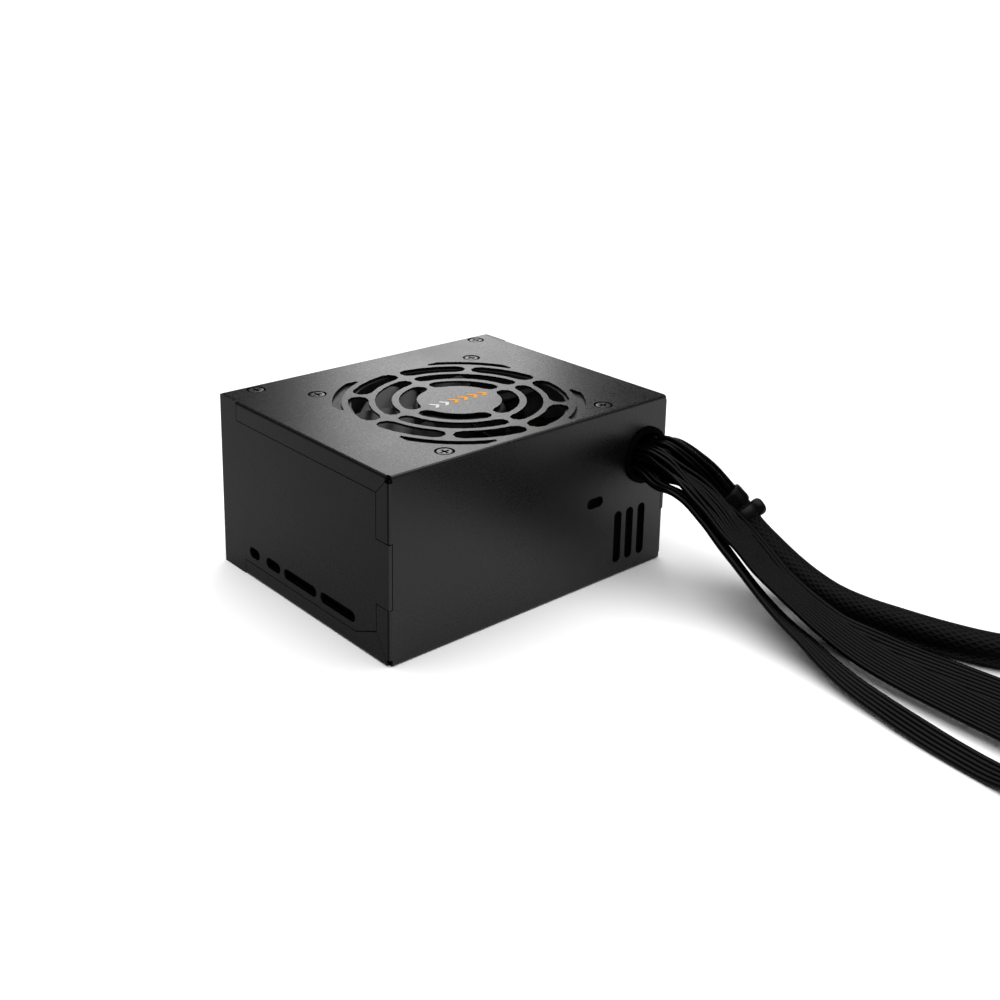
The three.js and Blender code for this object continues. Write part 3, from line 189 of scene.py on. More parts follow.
M = {
    "coat": powder_coat("powder_coat", 0.26),
    # a copy of the same coat with far less gloss, for the left face only: painted shade that keeps that side darker
    "shaded_side_coat": powder_coat("powder_coat_shaded_side", 0.045),
    "screw": surface("black_zinc", (0.012, 0.012, 0.013), (0.022, 0.022, 0.024), (0.26, 0.36), 1800, 0.00002, spec=0.4),
    "steel": surface("zinc_steel", (0.5, 0.51, 0.53), (0.62, 0.63, 0.65), (0.25, 0.38), 1400, 0.00002, metallic=1.0),
    "brass": surface("plated_brass", (0.62, 0.5, 0.28), (0.74, 0.62, 0.38), (0.2, 0.32), 1200, 0.00002, metallic=1.0),
    "plastic": surface("moulded_black", (0.006, 0.006, 0.0063), (0.011, 0.011, 0.0115), (0.34, 0.46), 1600, 0.00004, spec=0.3),
    "fan": surface("fan_plastic", (0.005, 0.005, 0.0053), (0.009, 0.009, 0.0094), (0.36, 0.46), 1500, 0.00003, spec=0.25),
    "wire": surface("wire_insulation", (0.0006, 0.0006, 0.0007), (0.0012, 0.0012, 0.0013), (0.22, 0.3), 1100, 0.00002, spec=0.06),
    "braid": braid(),
    "shrink": surface("heat_shrink", (0.0012, 0.0012, 0.0013), (0.0022, 0.0022, 0.0024), (0.36, 0.48), 700, 0.00012, spec=0.05),
    "nylon": surface("black_nylon", (0.002, 0.002, 0.0022), (0.0035, 0.0035, 0.0038), (0.3, 0.42), 1300, 0.00004, spec=0.1),
    "rubber": surface("grommet_plastic", (0.0006, 0.0006, 0.0006), (0.0012, 0.0012, 0.0012), (0.55, 0.65), 1300, 0.00004, spec=0.01),
    "heatsink": surface("heatsink_aluminium", (0.5, 0.51, 0.52), (0.62, 0.63, 0.64), (0.3, 0.45), 900, 0.00004, metallic=1.0),
    "board": surface("solder_mask", (0.004, 0.018, 0.009), (0.007, 0.028, 0.013), (0.3, 0.42), 700, 0.00006, spec=0.3),
    # copper kept far darker than bare copper, so the windings inside the case read dark: painted shade
    "copper": surface("winding_painted_shade", (0.05, 0.022, 0.009), (0.085, 0.038, 0.015), (0.35, 0.5), 900, 0.0002, metallic=0.5, spec=0.1),
    "can": surface("capacitor_sleeve", (0.02, 0.028, 0.05), (0.03, 0.04, 0.07), (0.25, 0.38), 900, 0.00004),
    "yellow": surface("yellow_tape", (0.55, 0.38, 0.04), (0.68, 0.5, 0.09), (0.35, 0.5), 700, 0.00006),
    "ferrite": surface("ferrite", (0.03, 0.028, 0.026), (0.055, 0.05, 0.046), (0.55, 0.7), 900, 0.0001),
    "film": surface("insulation_film", (0.001, 0.001, 0.001), (0.002, 0.002, 0.002), (0.6, 0.7), 500, 0.00003, spec=0.02),
    "grey_mark": surface("light_mark", (0.5, 0.5, 0.5), (0.58, 0.58, 0.58), (0.6, 0.7), 900, 0.00001, spec=0.03),
    "orange_mark": surface("orange_mark", (0.68, 0.24, 0.008), (0.78, 0.29, 0.012), (0.6, 0.7), 900, 0.00001, spec=0.03),
    # black with no gloss at all, put in countersinks, screw recesses and rims, the side seams' cut edges and plug
    # sockets: painted shade
    "painted_shade": surface("painted_shade_black", (0.001, 0.001, 0.001), (0.002, 0.002, 0.002), (0.6, 0.8), 900, 0.00004, spec=0.0),
}


# ------------------------------------------------------------------ building helpers
class Build:
    """Collects vertices, faces and UVs, then makes one object of them."""

    def __init__(self):
        self.v, self.f, self.uv, self.m = [], [], [], []

    def add(self, verts, faces, uvs=None, mat=0):
        k = len(self.v)
        self.v += [tuple(p) for p in verts]
        self.f += [tuple(i + k for i in f) for f in faces]
        self.uv += uvs if uvs else [[(0.0, 0.0)] * len(f) for f in faces]
        self.m += [mat] * len(faces)

    def box(self, a, b, mat=0):
        (x0, y0, z0), (x1, y1, z1) = a, b
        v = [(x, y, z) for z in (z0, z1) for y in (y0, y1) for x in (x0, x1)]
        f = [(0, 2, 3, 1), (4, 5, 7, 6), (0, 1, 5, 4), (2, 6, 7, 3), (0, 4, 6, 2), (1, 3, 7, 5)]
        self.add(v, f, mat=mat)

    def prism(self, outline, a, b, axis="z", mat=0):
        """Outline points across the axis, counter-clockwise seen from its end: (x, y), (x, z) or (y, z)."""
        n = len(outline)

        def at(p, h):
            return {"z": (p[0], p[1], h), "y": (p[0], h, p[1]), "x": (h, p[0], p[1])}[axis]

        v = [at(p, a) for p in outline] + [at(p, b) for p in outline]
        f = [tuple(range(n - 1, -1, -1)), tuple(range(n, 2 * n))]
        f += [(i, (i + 1) % n, n + (i + 1) % n, n + i) for i in range(n)]
        if axis == "y":
            f = [t[::-1] for t in f]
        self.add(v, f, mat=mat)

    def tube(self, pts, wides, mids, radii, sides=8, u_scale=1.0, v0=0.0, mat=0, caps=True):
        """A round tube through pts; wides and mids are the two directions across it at each point."""
        v, f, uv = [], [], []
        s = [v0]
        for i in range(1, len(pts)):
            s.append(s[-1] + (pts[i] - pts[i - 1]).length)
        for p, w, m, r in zip(pts, wides, mids, radii):
            for j in range(sides):
                a = 2 * math.pi * j / sides
                v.append(p + w * (r * math.cos(a)) + m * (r * math.sin(a)))
        for i in range(len(pts) - 1):
            for j in range(sides):
                k = (j + 1) % sides
                f.append((i * sides + j, (i + 1) * sides + j, (i + 1) * sides + k, i * sides + k))
                uv.append([(j / sides * u_scale, s[i]), (j / sides * u_scale, s[i + 1]), ((j + 1) / sides * u_scale, s[i + 1]), ((j + 1) / sides * u_scale, s[i])])
        if caps:
            n = len(pts) - 1
            f.append(tuple(range(sides)))
            uv.append([(0, 0)] * sides)
            f.append(tuple(n * sides + j for j in reversed(range(sides))))
            uv.append([(0, 0)] * sides)
        self.add(v, f, uv, mat)

    def lathe(self, centre, profile, sides=48, axis="z", mat=0, closed=False):
        """Profile points (radius, height) turned about an axis through centre."""
        v, f = [], []
        c = Vector(centre)
        n = len(profile)
        for r, h in profile:
            for j in range(sides):
                a = 2 * math.pi * j / sides
                d = (r * math.cos(a), r * math.sin(a))
                off = {"z": (d[0], d[1], h), "y": (d[0], h, d[1]), "x": (h, d[0], d[1])}[axis]
                v.append(c + Vector(off))
        m = n if closed else n - 1
        for i in range(m):
            q = (i + 1) % n
            for j in range(sides):
                k = (j + 1) % sides
                f.append((i * sides + j, i * sides + k, q * sides + k, q * sides + j))
        self.add(v, f, mat=mat)

    def object(self, name, mats, body="case", slot=None, smooth=35, bevel=0.0, segments=2, replaces=()):
        me = bpy.data.meshes.new(name)
        me.from_pydata([tuple(p) for p in self.v], [], self.f)
        layer = me.uv_layers.new(name="UVMap")
        i = 0
        for poly, uvs in zip(me.polygons, self.uv):
            for k, c in zip(poly.loop_indices, uvs):
                layer.data[k].uv = c
        mats = mats if isinstance(mats, (list, tuple)) else [mats]
        for m in mats:
            me.materials.append(M[m])
        me.polygons.foreach_set("material_index", self.m)
        me.validate()
        bm = bmesh.new()
        bm.from_mesh(me)
        bmesh.ops.recalc_face_normals(bm, faces=bm.faces)
        bm.to_mesh(me)
        bm.free()
        shade(me, smooth)
        o = bpy.data.objects.new(name, me)
        scene.collection.objects.link(o)
        if bevel:
            add_bevel(o, bevel, segments)
        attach(o, body)
        if replaces:
            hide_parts(*replaces)
        return o


def shade(me, degrees):
    me.polygons.foreach_set("use_smooth", [True] * len(me.polygons))
    me.set_sharp_from_angle(angle=math.radians(degrees))
    me.update()


def add_bevel(o, width, segments=2, angle=35):
    b = o.modifiers.new("bevel", "BEVEL")
    b.width = width
    b.segments = segments
    b.limit_method = "ANGLE"
    b.angle_limit = math.radians(angle)
    b.harden_normals = False
    n = o.modifiers.new("weighted_normals", "WEIGHTED_NORMAL")
    n.mode = "FACE_AREA"
    n.weight = 100
    n.keep_sharp = True
    return b


# ------------------------------------------------------------------ cable routes
# Each row is x, y, z of the centreline in millimetres, roll in degrees, width and thickness.
CPU_ROUTE = [
    (47.4, -52.6, 46, 0, 5.4, 4.3), (47.8, -57, 46.2, 0, 5.8, 4.2), (47.91, -63, 44.87, -3.29, 8.4, 3),
    (48.69, -70, 42.37, -6.35, 12.2, 2.3), (49.58, -77, 39.25, -8.77, 15, 2.1),
    (50.02, -84.5, 34.85, -11.06, 16.8, 2.1), (49.86, -91.5, 29.69, -13.62, 17.2, 2.1),
    (50.14, -98.5, 25.23, -16.52, 17.2, 2.1), (50.04, -106, 20.37, -16.81, 17.2, 2.1),
    (50.64, -114, 16.38, -15.3, 17.2, 2.1), (51.25, -122, 12.95, -12.68, 17.2, 2.1),
    (51.52, -131, 9.59, -9.46, 17.2, 2.1), (51.63, -141, 6.79, -6.38, 17.2, 2.1),
    (51.52, -152, 5.09, -3.85, 17.2, 2.1), (51.23, -164, 4.44, -2.08, 17.2, 2.1),
    (50.77, -177, 4.3, -1.17, 17.2, 2.1), (50.24, -190, 4.28, -1.11, 17.2, 2.1),
    (49.78, -203, 4.21, -0.94, 17.2, 2.1), (49.38, -216, 3.58, -0.71, 17.2, 2.1),
    (49.18, -229, 2.13, -0.46, 17.2, 2.1), (49.09, -241, 2.24, -0.23, 17.2, 2.1),
    (49.03, -251, 2.18, -0.07, 17.2, 2.1), (49, -264, 1.6, 0, 17.2, 2.1), (49, -275, 1.22, 0, 17.2, 2.1),
    (49, -280.6, 1.2, 0, 17.2, 2.1), (49, -285, 1.2, 0, 17.2, 2.1), (49, -288.8, 2.22, 0, 17.2, 2.1),
    (49, -291.58, 5, 0, 17.2, 2.1), (49, -292.6, 8.8, 0, 17.2, 2.1), (49, -291.58, 12.6, 0, 17.2, 2.1),
    (49, -288.8, 15.38, 0, 17.2, 2.1), (49, -285, 16.4, 0, 17.2, 2.1), (49, -280.4, 15.88, 0, 17.2, 2.1),
    (49, -274, 13.49, 0, 17.2, 2.1), (49, -266.5, 9.64, 0, 17.2, 2.1), (49, -259, 6.38, 0, 17.2, 2.1),
    (49, -250, 4.75, 0, 17.2, 2.1), (49, -244.38, 4.75, 0, 17.2, 2.1), (49, -234.38, 7.58, 0, 17.2, 2.1),
    (49, -224.38, 10.4, 0, 17.2, 2.1),
]
PCIE_ROUTE = [
    (51.6, -52.6, 37.8, 0, 5.4, 4), (51.6, -57, 38.1, 0, 5.6, 3.8), (52.62, -63, 38.81, -5.86, 6.8, 3.2),
    (53.52, -69.6, 38.3, -10.73, 9, 2.5), (55.02, -75.8, 35.3, -14.29, 12.6, 2.2),
    (56.47, -82.93, 30.54, -14.97, 15.8, 2.1), (57.89, -89.77, 25.24, -12.6, 17.2, 2.1),
    (58.69, -96.61, 20.29, -11.21, 17.2, 2.1), (58.47, -103.95, 15.45, -10.45, 17.2, 2.1),
    (58.72, -111.84, 11.58, -9.67, 17.2, 2.1), (59.19, -120.01, 8.31, -8.46, 17.2, 2.1),
    (60.15, -129.46, 5.3, -6.7, 17.2, 2.1), (62.37, -140.15, 3.1, 1.56, 17.2, 2.1),
    (64.93, -151.84, 1.97, 0.72, 17.2, 2.1), (67.28, -164.26, 1.41, 0.26, 17.2, 2.1),
    (69.09, -177.44, 1.27, 0.06, 17.2, 2.1), (70.4, -190.44, 1.2, 0, 17.2, 2.1),
    (70.4, -203.32, 1.2, 0, 17.2, 2.1), (70.4, -216.04, 1.2, 0, 17.2, 2.1),
    (70.4, -228.99, 1.2, 0, 17.2, 2.1), (70.4, -241.09, 2.15, 0, 17.2, 2.1),
    (70.4, -250.97, 2.15, 0, 17.2, 2.1), (70.4, -263.93, 1.6, 0, 17.2, 2.1),
    (70.4, -270.95, 1.22, 0, 17.2, 2.1), (70.4, -276.55, 1.2, 0, 17.2, 2.1),
    (70.4, -280.95, 1.2, 0, 17.2, 2.1), (70.4, -284.75, 2.22, 0, 17.2, 2.1), (70.4, -287.53, 5, 0, 17.2, 2.1),
    (70.4, -288.55, 8.8, 0, 17.2, 2.1), (70.4, -287.53, 12.6, 0, 17.2, 2.1),
    (70.4, -284.75, 15.38, 0, 17.2, 2.1), (70.4, -280.95, 16.4, 0, 17.2, 2.1),
    (70.4, -276.35, 15.88, 0, 17.2, 2.1), (70.4, -269.95, 13.49, 0, 17.2, 2.1),
    (70.4, -262.45, 9.64, 0, 17.2, 2.1), (70.4, -254.95, 6.38, 0, 17.2, 2.1),
    (70.4, -245.95, 4.75, 0, 17.2, 2.1), (70.4, -232.76, 4.75, 0, 17.2, 2.1),
    (70.4, -224.76, 6.18, 0, 17.2, 2.1), (70.4, -216.76, 7.6, 0, 17.2, 2.1),
]
SATA_ROUTE = [
    (46.2, -52.6, 40.2, -4, 4.6, 3), (45.5, -57, 39.2, -8, 5, 2.9), (44.98, -63, 37.34, -15.39, 6.4, 2.5),
    (45.63, -70, 36.59, -19.97, 8.8, 2.2), (46.06, -77, 34.47, -22.89, 10.2, 2.1),
    (45.42, -84.5, 30.49, -25.97, 10.6, 2.1), (44.39, -91.5, 26.19, -29.35, 10.6, 2.1),
    (43.95, -98.5, 21.78, -32.49, 10.6, 2.1), (43.27, -106, 17.37, -33.27, 10.6, 2.1),
    (42.22, -114, 13.48, -30.89, 10.6, 2.1), (41.31, -122, 10.27, -26.43, 10.6, 2.1),
    (40.28, -131, 7.67, -19.81, 10.6, 2.1), (38.46, -141, 4.84, -13.01, 10.6, 2.1),
    (36.5, -152, 2.95, -6.63, 10.6, 2.1), (34.49, -164, 2.09, -2.97, 10.6, 2.1),
    (32.6, -175, 1.7, 0, 10.6, 2.1), (31.2, -186, 1.35, 0, 10.6, 2.1), (30, -199, 1.3, 0, 10.6, 2.1),
    (29.3, -207.5, 2.3, 0, 10.6, 2.1), (28.95, -214, 3.2, 0, 10.6, 2.1), (28.75, -221.5, 3.2, 0, 10.6, 2.1),
    (28.6, -229, 2.2, 0, 10.6, 2.1), (28.5, -237.5, 1.2, 0, 10.6, 2.1), (28.5, -252, 1.15, 0, 10.6, 2.1),
    (28.5, -270, 1.15, 0, 10.6, 2.1), (28.5, -283, 1.17, 0, 10.6, 2.1), (28.5, -288.6, 1.15, 0, 10.6, 2.1),
    (28.5, -293, 1.15, 0, 10.6, 2.1), (28.5, -296.2, 2.01, 0, 10.6, 2.1), (28.5, -298.54, 4.35, 0, 10.6, 2.1),
    (28.5, -299.4, 7.55, 0, 10.6, 2.1), (28.5, -298.54, 10.75, 0, 10.6, 2.1),
    (28.5, -296.2, 13.09, 0, 10.6, 2.1), (28.5, -293, 13.95, 0, 10.6, 2.1),
    (28.5, -289.69, 13.49, 0, 10.6, 2.1), (28.5, -285.08, 11.39, 0, 10.6, 2.1),
    (28.5, -279.68, 8, 0, 10.6, 2.1), (28.5, -274.28, 5.14, 0, 10.6, 2.1), (28.5, -267.8, 3.7, 0, 10.6, 2.1),
    (28.5, -261.47, 3.7, 0, 10.6, 2.1), (28.5, -255.97, 4.45, 0, 10.6, 2.1),
    (28.5, -250.47, 5.2, 0, 10.6, 2.1),
]
ATX_ROUTE = [
    (55.2, -52.6, 45.7, 0, 9, 9), (56.96, -57.5, 46.59, 0, 9.2, 9.2), (60.63, -62.42, 43.35, 0, 9.8, 9.8),
    (64.36, -67.64, 38.39, 0, 10.3, 10.3), (67.67, -73.32, 32.44, 0, 9.8, 9.8),
    (70.3, -78.52, 27.23, 0, 9.6, 9.6), (71.3, -84.61, 21.27, 0, 9.9, 9.9),
    (72.03, -92.05, 16.4, 0, 10.4, 10.4), (72.35, -100.39, 12.26, 0, 10.6, 10.6),
    (72.88, -109.49, 8.93, 0, 10.6, 10.6), (73.64, -119.04, 6.68, 0, 10.6, 10.6),
    (74.98, -129.42, 5.75, 0, 10.6, 10.6), (77.17, -141.67, 5.62, 0, 10.6, 10.6),
    (80.1, -154.85, 5.6, 0, 10.6, 10.6), (84.66, -168, 5.6, 0, 10.6, 10.6),
    (91.91, -180.5, 5.6, 0, 10.6, 10.6), (99.55, -193.5, 5.6, 0, 10.6, 10.6),
    (105.99, -207.5, 5.6, 0, 10.6, 10.6), (110.6, -222.5, 5.6, 0, 10.6, 10.6),
    (112.8, -238, 5.6, 0, 10.6, 10.6), (112.9, -253, 5.6, 0, 10.6, 10.6),
    (112.2, -265.34, 5.55, 0, 10.6, 10.6), (111.6, -277.68, 5.5, 0, 10.6, 10.6),
]


def smooth(points, k):
    """Uniform Catmull-Rom curve through rows of numbers, k steps between two rows."""
    P = [[float(x) for x in p] for p in points]
    Q = [[2 * a - b for a, b in zip(P[0], P[1])]] + P + [[2 * a - b for a, b in zip(P[-1], P[-2])]]
    out = []
    for i in range(len(P) - 1):
        for s in range(k):
            t = s / k
            out.append([0.5 * (2 * b + (-a + c) * t + (2 * a - 5 * b + 4 * c - d) * t * t + (-a + 3 * b - 3 * c + d) * t**3) for a, b, c, d in zip(Q[i], Q[i + 1], Q[i + 2], Q[i + 3])])
    out.append(P[-1][:])
    return out


class Route:
    """A centreline in metres with, at each point, the direction of its width, of its thickness, and both sizes."""

    def __init__(self, rows, steps):
        rows = smooth(rows, steps)
        self.p = [Vector(r[:3]) * MM for r in rows]
        self.width = [r[4] * MM for r in rows]
        self.thick = [r[5] * MM for r in rows]
        self.w, self.m, self.t, self.s = [], [], [], [0.0]
        n = len(rows)
        for i in range(n):
            t = (self.p[min(n - 1, i + 1)] - self.p[max(0, i - 1)]).normalized()
            if i == 0:
                t = Vector((0, -1, 0))
            x = (Vector((1, 0, 0)) - t * t.x).normalized()
            up = t.cross(x)
            a = math.radians(rows[i][3])
            w = x * math.cos(a) + up * math.sin(a)
            self.t.append(t)
            self.w.append(w)
            self.m.append(t.cross(w))
            if i:
                self.s.append(self.s[-1] + (self.p[i] - self.p[i - 1]).length)

    def at(self, s):
        """Index as a fraction at arc length s."""
        i = 1
        while i < len(self.s) - 1 and self.s[i] < s:
            i += 1
        f = (s - self.s[i - 1]) / (self.s[i] - self.s[i - 1])
        return i - 1, f

    def point(self, s):
        i, f = self.at(s)
        return self.p[i].lerp(self.p[i + 1], f), self.w[i].lerp(self.w[i + 1], f).normalized(), self.m[i].lerp(self.m[i + 1], f).normalized()


def ease(x):
    x = max(0.0, min(1.0, x))
    return x * x * (3 - 2 * x)


def wobble(seed, s, size, wave):
    """A slow smooth sideways drift along a wire."""
    a = random.Random(seed).uniform(0, 6.28)
    b = random.Random(seed + 91).uniform(0, 6.28)
    return size * (math.sin(6.2832 * s / wave + a) * 0.6 + math.sin(6.2832 * s / (wave * 0.43) + b) * 0.4)


def flat_cable(name, rows, count, pitch, radius, bunch, node, length, width, with_pieces, far_end="plug", loose=0.0, seed=1, exit_y=-0.0485, open_out=1.0):
    """A row of separate wires lying side by side, gathered into a bunch where it leaves the case."""
    r = Route(rows, 4)
    b = Build()
    for i in range(count):
        flat = (i - (count - 1) / 2) * pitch * MM
        bu, bv = bunch[i]
        pts, ws, ms = [], [], []
        for j in range(len(r.p)):
            f = ease((r.width[j] / MM - r.width[0] / MM) / (0.95 * (width / MM - r.width[0] / MM)))
            scale = min(1.0, r.width[j] / width) if f > 0 else 1.0
            air = loose * ease(r.s[j] / 0.012) * (1 - ease((r.s[j] - 0.030) / 0.018))
            du = flat * (r.width[j] / width) * f + bu * open_out * MM * (1 - f)
            dv = bv * open_out * MM * (1 - f) + air * wobble(seed * 100 + i, r.s[j], 1.0, 0.06) * MM
            du += 0.5 * air * wobble(seed * 100 + i + 50, r.s[j], 1.0, 0.08) * MM
            pts.append(r.p[j] + r.w[j] * du + r.m[j] * dv)
            ws.append(r.w[j])
            ms.append(r.m[j])
        first = pts[0].copy()
        first.y = exit_y
        pts.insert(0, first)
        ws.insert(0, ws[0])
        ms.insert(0, ms[0])
        rad = [radius * MM * (0.86 if k == 0 else 0.86 + 0.14 * ease(r.s[max(0, k - 1)] / 0.03)) for k in range(len(pts))]
        b.tube(pts, ws, ms, rad, sides=8)
    o = b.object(name, "wire", replaces=(node,), smooth=60)
    path = [(r.p[0].x, exit_y, r.p[0].z)] + [tuple(p) for p in r.p]
    return o, r, path


# ------------------------------------------------------------------ plugs
def crimp_plug(name, node, cols, z_up=1, bevel=0.00025, latch=True):
    """A rectangular plug housing with two rows of sockets at its free end, a latch on top and ribs on its sides. It stands where its CAD node stands."""
    lo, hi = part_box(node)
    free = -1 if node.startswith("atx") else 1  # the free end faces -Y or +Y
    y0, y1 = (hi.y, lo.y) if free < 0 else (lo.y, hi.y)  # from the wires to the free end

    def y(t):  # millimetres from the wire end
        return y0 + free * t * MM

    def ybox(b, xa, xb, ta, tb, za, zb, mat=0):
        a, c = sorted((y(ta), y(tb)))
        b.box((xa, a, za), (xb, c, zb), mat)

    b = Build()
    wall = 0.75 * MM
    length = abs(y1 - y0) / MM
    ybox(b, lo.x, hi.x, 0.0, length - 7.5, lo.z, hi.z - 0.4 * MM)
    # free end: separate square towers, walls between them
    cx = (lo.x + hi.x) / 2
    pitch = 4.2 * MM
    zc = (lo.z + hi.z - 0.4 * MM) / 2
    for z0, z1 in ((lo.z, lo.z + wall), (zc - 0.4 * MM, zc + 0.4 * MM), (hi.z - 0.4 * MM - wall, hi.z - 0.4 * MM)):
        ybox(b, lo.x, hi.x, length - 7.6, length, z0, z1)
    edges = [lo.x] + [cx + (i - cols / 2) * pitch - 0.4 * MM for i in range(1, cols)] + [hi.x - 0.8 * MM]
    for x in edges:
        ybox(b, x, x + 0.8 * MM, length - 7.6, length, lo.z, hi.z - 0.4 * MM)
    # a glossless black sheet across the bottom of the socket ways: painted shade
    ybox(b, lo.x + 0.2 * MM, hi.x - 0.2 * MM, length - 7.7, length - 7.4, lo.z + 0.2 * MM, hi.z - 0.6 * MM, 1)
    # grooves along the back show as raised ribs between the wire ways
    for i in range(cols):
        x = cx + (i - (cols - 1) / 2) * pitch
        ybox(b, x - 1.25 * MM, x + 1.25 * MM, 1.0, length - 9.5, hi.z - 0.45 * MM, hi.z - 0.15 * MM)
    ybox(b, lo.x, hi.x, 0.0, 1.1, hi.z - 0.45 * MM, hi.z - 0.1 * MM)
    if latch:
        w = 1.9 * MM
        lx = cx
        prof = [(2.0, hi.z - 0.5 * MM), (9.5, hi.z - 0.5 * MM), (9.5, hi.z), (8.2, hi.z), (2.0, hi.z - 0.05 * MM)]
        ybox(b, lx - w, lx + w, 2.0, length - 8.0, hi.z - 0.5 * MM, hi.z)
        ybox(b, lx - w, lx + w, length - 8.2, length - 3.4, hi.z - 0.4 * MM - 0.35 * MM, hi.z)
    o = b.object(name, ["plastic", "painted_shade"], bevel=bevel, replaces=(node,), slot="black_plastic")
    return o


def sata_plug(name, node, through):
    """A thin wide housing: either a crimp-on cap with the cable running through it, or the end plug."""
    lo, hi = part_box(node)
    b = Build()
    cx = (lo.x + hi.x) / 2
    z1 = hi.z - 0.6 * MM
    if through:
        # the shell above and below the cable, two end walls, and the ribbed cap
        b.box((lo.x, lo.y, lo.z), (hi.x, hi.y, lo.z + 1.0 * MM))
        b.box((lo.x, lo.y, z1 - 0.9 * MM), (hi.x, hi.y, z1))
        for xa, xb in ((lo.x, lo.x + 3.7 * MM), (hi.x - 3.7 * MM, hi.x)):
            b.box((xa, lo.y, lo.z), (xb, hi.y, z1))
        for i in range(6):
            x = cx + (i - 2.5) * 2.6 * MM
            b.box((x - 0.6 * MM, lo.y + 2 * MM, z1 - 0.1 * MM), (x + 0.6 * MM, hi.y - 2 * MM, hi.z - 0.1 * MM))
        b.box((lo.x + 1.3 * MM, lo.y + 1 * MM, z1 - 0.1 * MM), (hi.x - 1.3 * MM, lo.y + 1.8 * MM, hi.z))
    else:
        mid = lo.y + 9.5 * MM
        b.box((lo.x, lo.y, lo.z), (hi.x, mid, z1))
        zc = (lo.z + z1) / 2
        b.box((lo.x, mid - 0.2 * MM, lo.z), (hi.x, hi.y, zc - 0.9 * MM))
        b.box((lo.x, mid - 0.2 * MM, zc + 0.9 * MM), (hi.x, hi.y, z1))
        b.box((lo.x, mid - 0.2 * MM, lo.z), (lo.x + 1.6 * MM, hi.y, z1))
        b.box((hi.x - 1.6 * MM, mid - 0.2 * MM, lo.z), (hi.x, hi.y, z1))
        b.box((hi.x - 4.4 * MM, mid - 0.2 * MM, zc - 0.3 * MM), (hi.x - 3.2 * MM, hi.y - 0.4 * MM, z1 - 0.2 * MM))
        # a glossless black sheet inside the socket opening: painted shade
        b.box((lo.x + 1 * MM, mid, zc - 0.9 * MM), (hi.x - 1 * MM, mid + 0.3 * MM, zc + 0.9 * MM), 1)
        for i in range(5):
            x = cx + (i - 2) * 3.4 * MM
            b.box((x - 1.2 * MM, lo.y + 1.4 * MM, z1 - 0.1 * MM), (x + 1.2 * MM, mid - 1.2 * MM, hi.z - 0.15 * MM))
        b.box((lo.x + 1.3 * MM, mid - 1.1 * MM, z1 - 0.1 * MM), (hi.x - 1.3 * MM, mid - 0.3 * MM, hi.z))
    return b.object(name, ["plastic", "painted_shade"], bevel=0.0002, replaces=(node,), slot="black_plastic")


def tie(name, node):
    """Cable tie: a thin strap and the square head."""
    lo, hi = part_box(node)
    cx, cz = (lo.x + hi.x) / 2, (lo.z + hi.z) / 2
    w, h = (hi.x - lo.x) / 2 - 0.05 * MM, (hi.z - lo.z) / 2 - 0.05 * MM
    b = Build()
    n = 56
    ring = []
    for i in range(n):
        a = 2 * math.pi * (i + 0.5) / n
        c, s = math.cos(a), math.sin(a)
        k = 1.0 / (abs(c) ** 7 + abs(s) ** 7) ** (1 / 7)
        ring.append((c * k, s * k))
    ya, yb = (lo.y + hi.y) / 2 - 1.25 * MM, (lo.y + hi.y) / 2 + 1.25 * MM
    t = 0.85 * MM
    prof = [(0.0, ya), (0.0, yb), (-t, yb - 0.1 * MM), (-t, ya + 0.1 * MM)]
    v, f = [], []
    for c, s in ring:
        for d, y in prof:
            v.append((cx + c * (w + d), y, cz + s * (h + d)))
    for i in range(n):
        k = (i + 1) % n
        for j in range(4):
            q = (j + 1) % 4
            f.append((i * 4 + j, i * 4 + q, k * 4 + q, k * 4 + j))
    b.add(v, f)
    b.box((cx + w - 6.5 * MM, lo.y + 0.05 * MM, cz + h - 1.6 * MM), (cx + w - 1.9 * MM, hi.y - 0.05 * MM, cz + h + 0.05 * MM))
    return b.object(name, "nylon", bevel=0.00012, replaces=(node,), smooth=30)


# ------------------------------------------------------------------ the cables
BUNCH8 = [(-1.7, 1.2), (0.0, 1.35), (1.7, 1.2), (-0.95, -0.15), (0.95, -0.15), (-1.7, -1.35), (0.0, -1.45), (1.7, -1.35)]
BUNCH5 = [(-1.5, 0.35), (-0.85, -0.7), (0.0, 0.6), (0.85, -0.7), (1.5, 0.35)]
# outermost wires of the flat row come from the outside of the bunch
ORDER8 = [BUNCH8[i] for i in (5, 0, 3, 6, 1, 4, 2, 7)]
ORDER9 = [(-1.75, -1.4), (-1.75, 0.0), (-1.75, 1.4), (0.0, 1.45), (0.0, 0.0), (0.0, -1.45), (1.75, -1.4), (1.75, 0.0), (1.75, 1.4)]

cpu, cpu_route, cpu_path = flat_cable("cpu_wires", CPU_ROUTE, 9, 1.9, 0.88, ORDER9, "cpu_cable", 0.33, 0.0172, None, loose=0.7, seed=1, open_out=1.3)
pcie, pcie_route, pcie_path = flat_cable("pcie_wires", PCIE_ROUTE, 8, 2.15, 1.0, ORDER8, "pcie_cable", 0.33, 0.0172, None, loose=0.7, seed=2, open_out=1.55)
sata, sata_route, sata_path = flat_cable("sata_wires", SATA_ROUTE, 5, 2.15, 1.02, BUNCH5, "sata_cable", 0.315, 0.0106, None, loose=0.6, seed=3, open_out=1.5)

cpu_a = crimp_plug("cpu_plug_left", "cpu_plug_a", 2)
cpu_b = crimp_plug("cpu_plug_right", "cpu_plug_b", 2)
pcie_a = crimp_plug("graphics_plug_six", "pcie_plug_6_pin", 3)
pcie_b = crimp_plug("graphics_plug_two", "pcie_plug_2_pin", 1, latch=False)
cpu_tie = tie("cpu_tie", "cpu_cable_tie")
pcie_tie = tie("graphics_tie", "pcie_cable_tie")
sata_a = sata_plug("drive_plug_middle", "sata_plug_middle", True)
sata_b = sata_plug("drive_plug_end", "sata_plug_end", False)


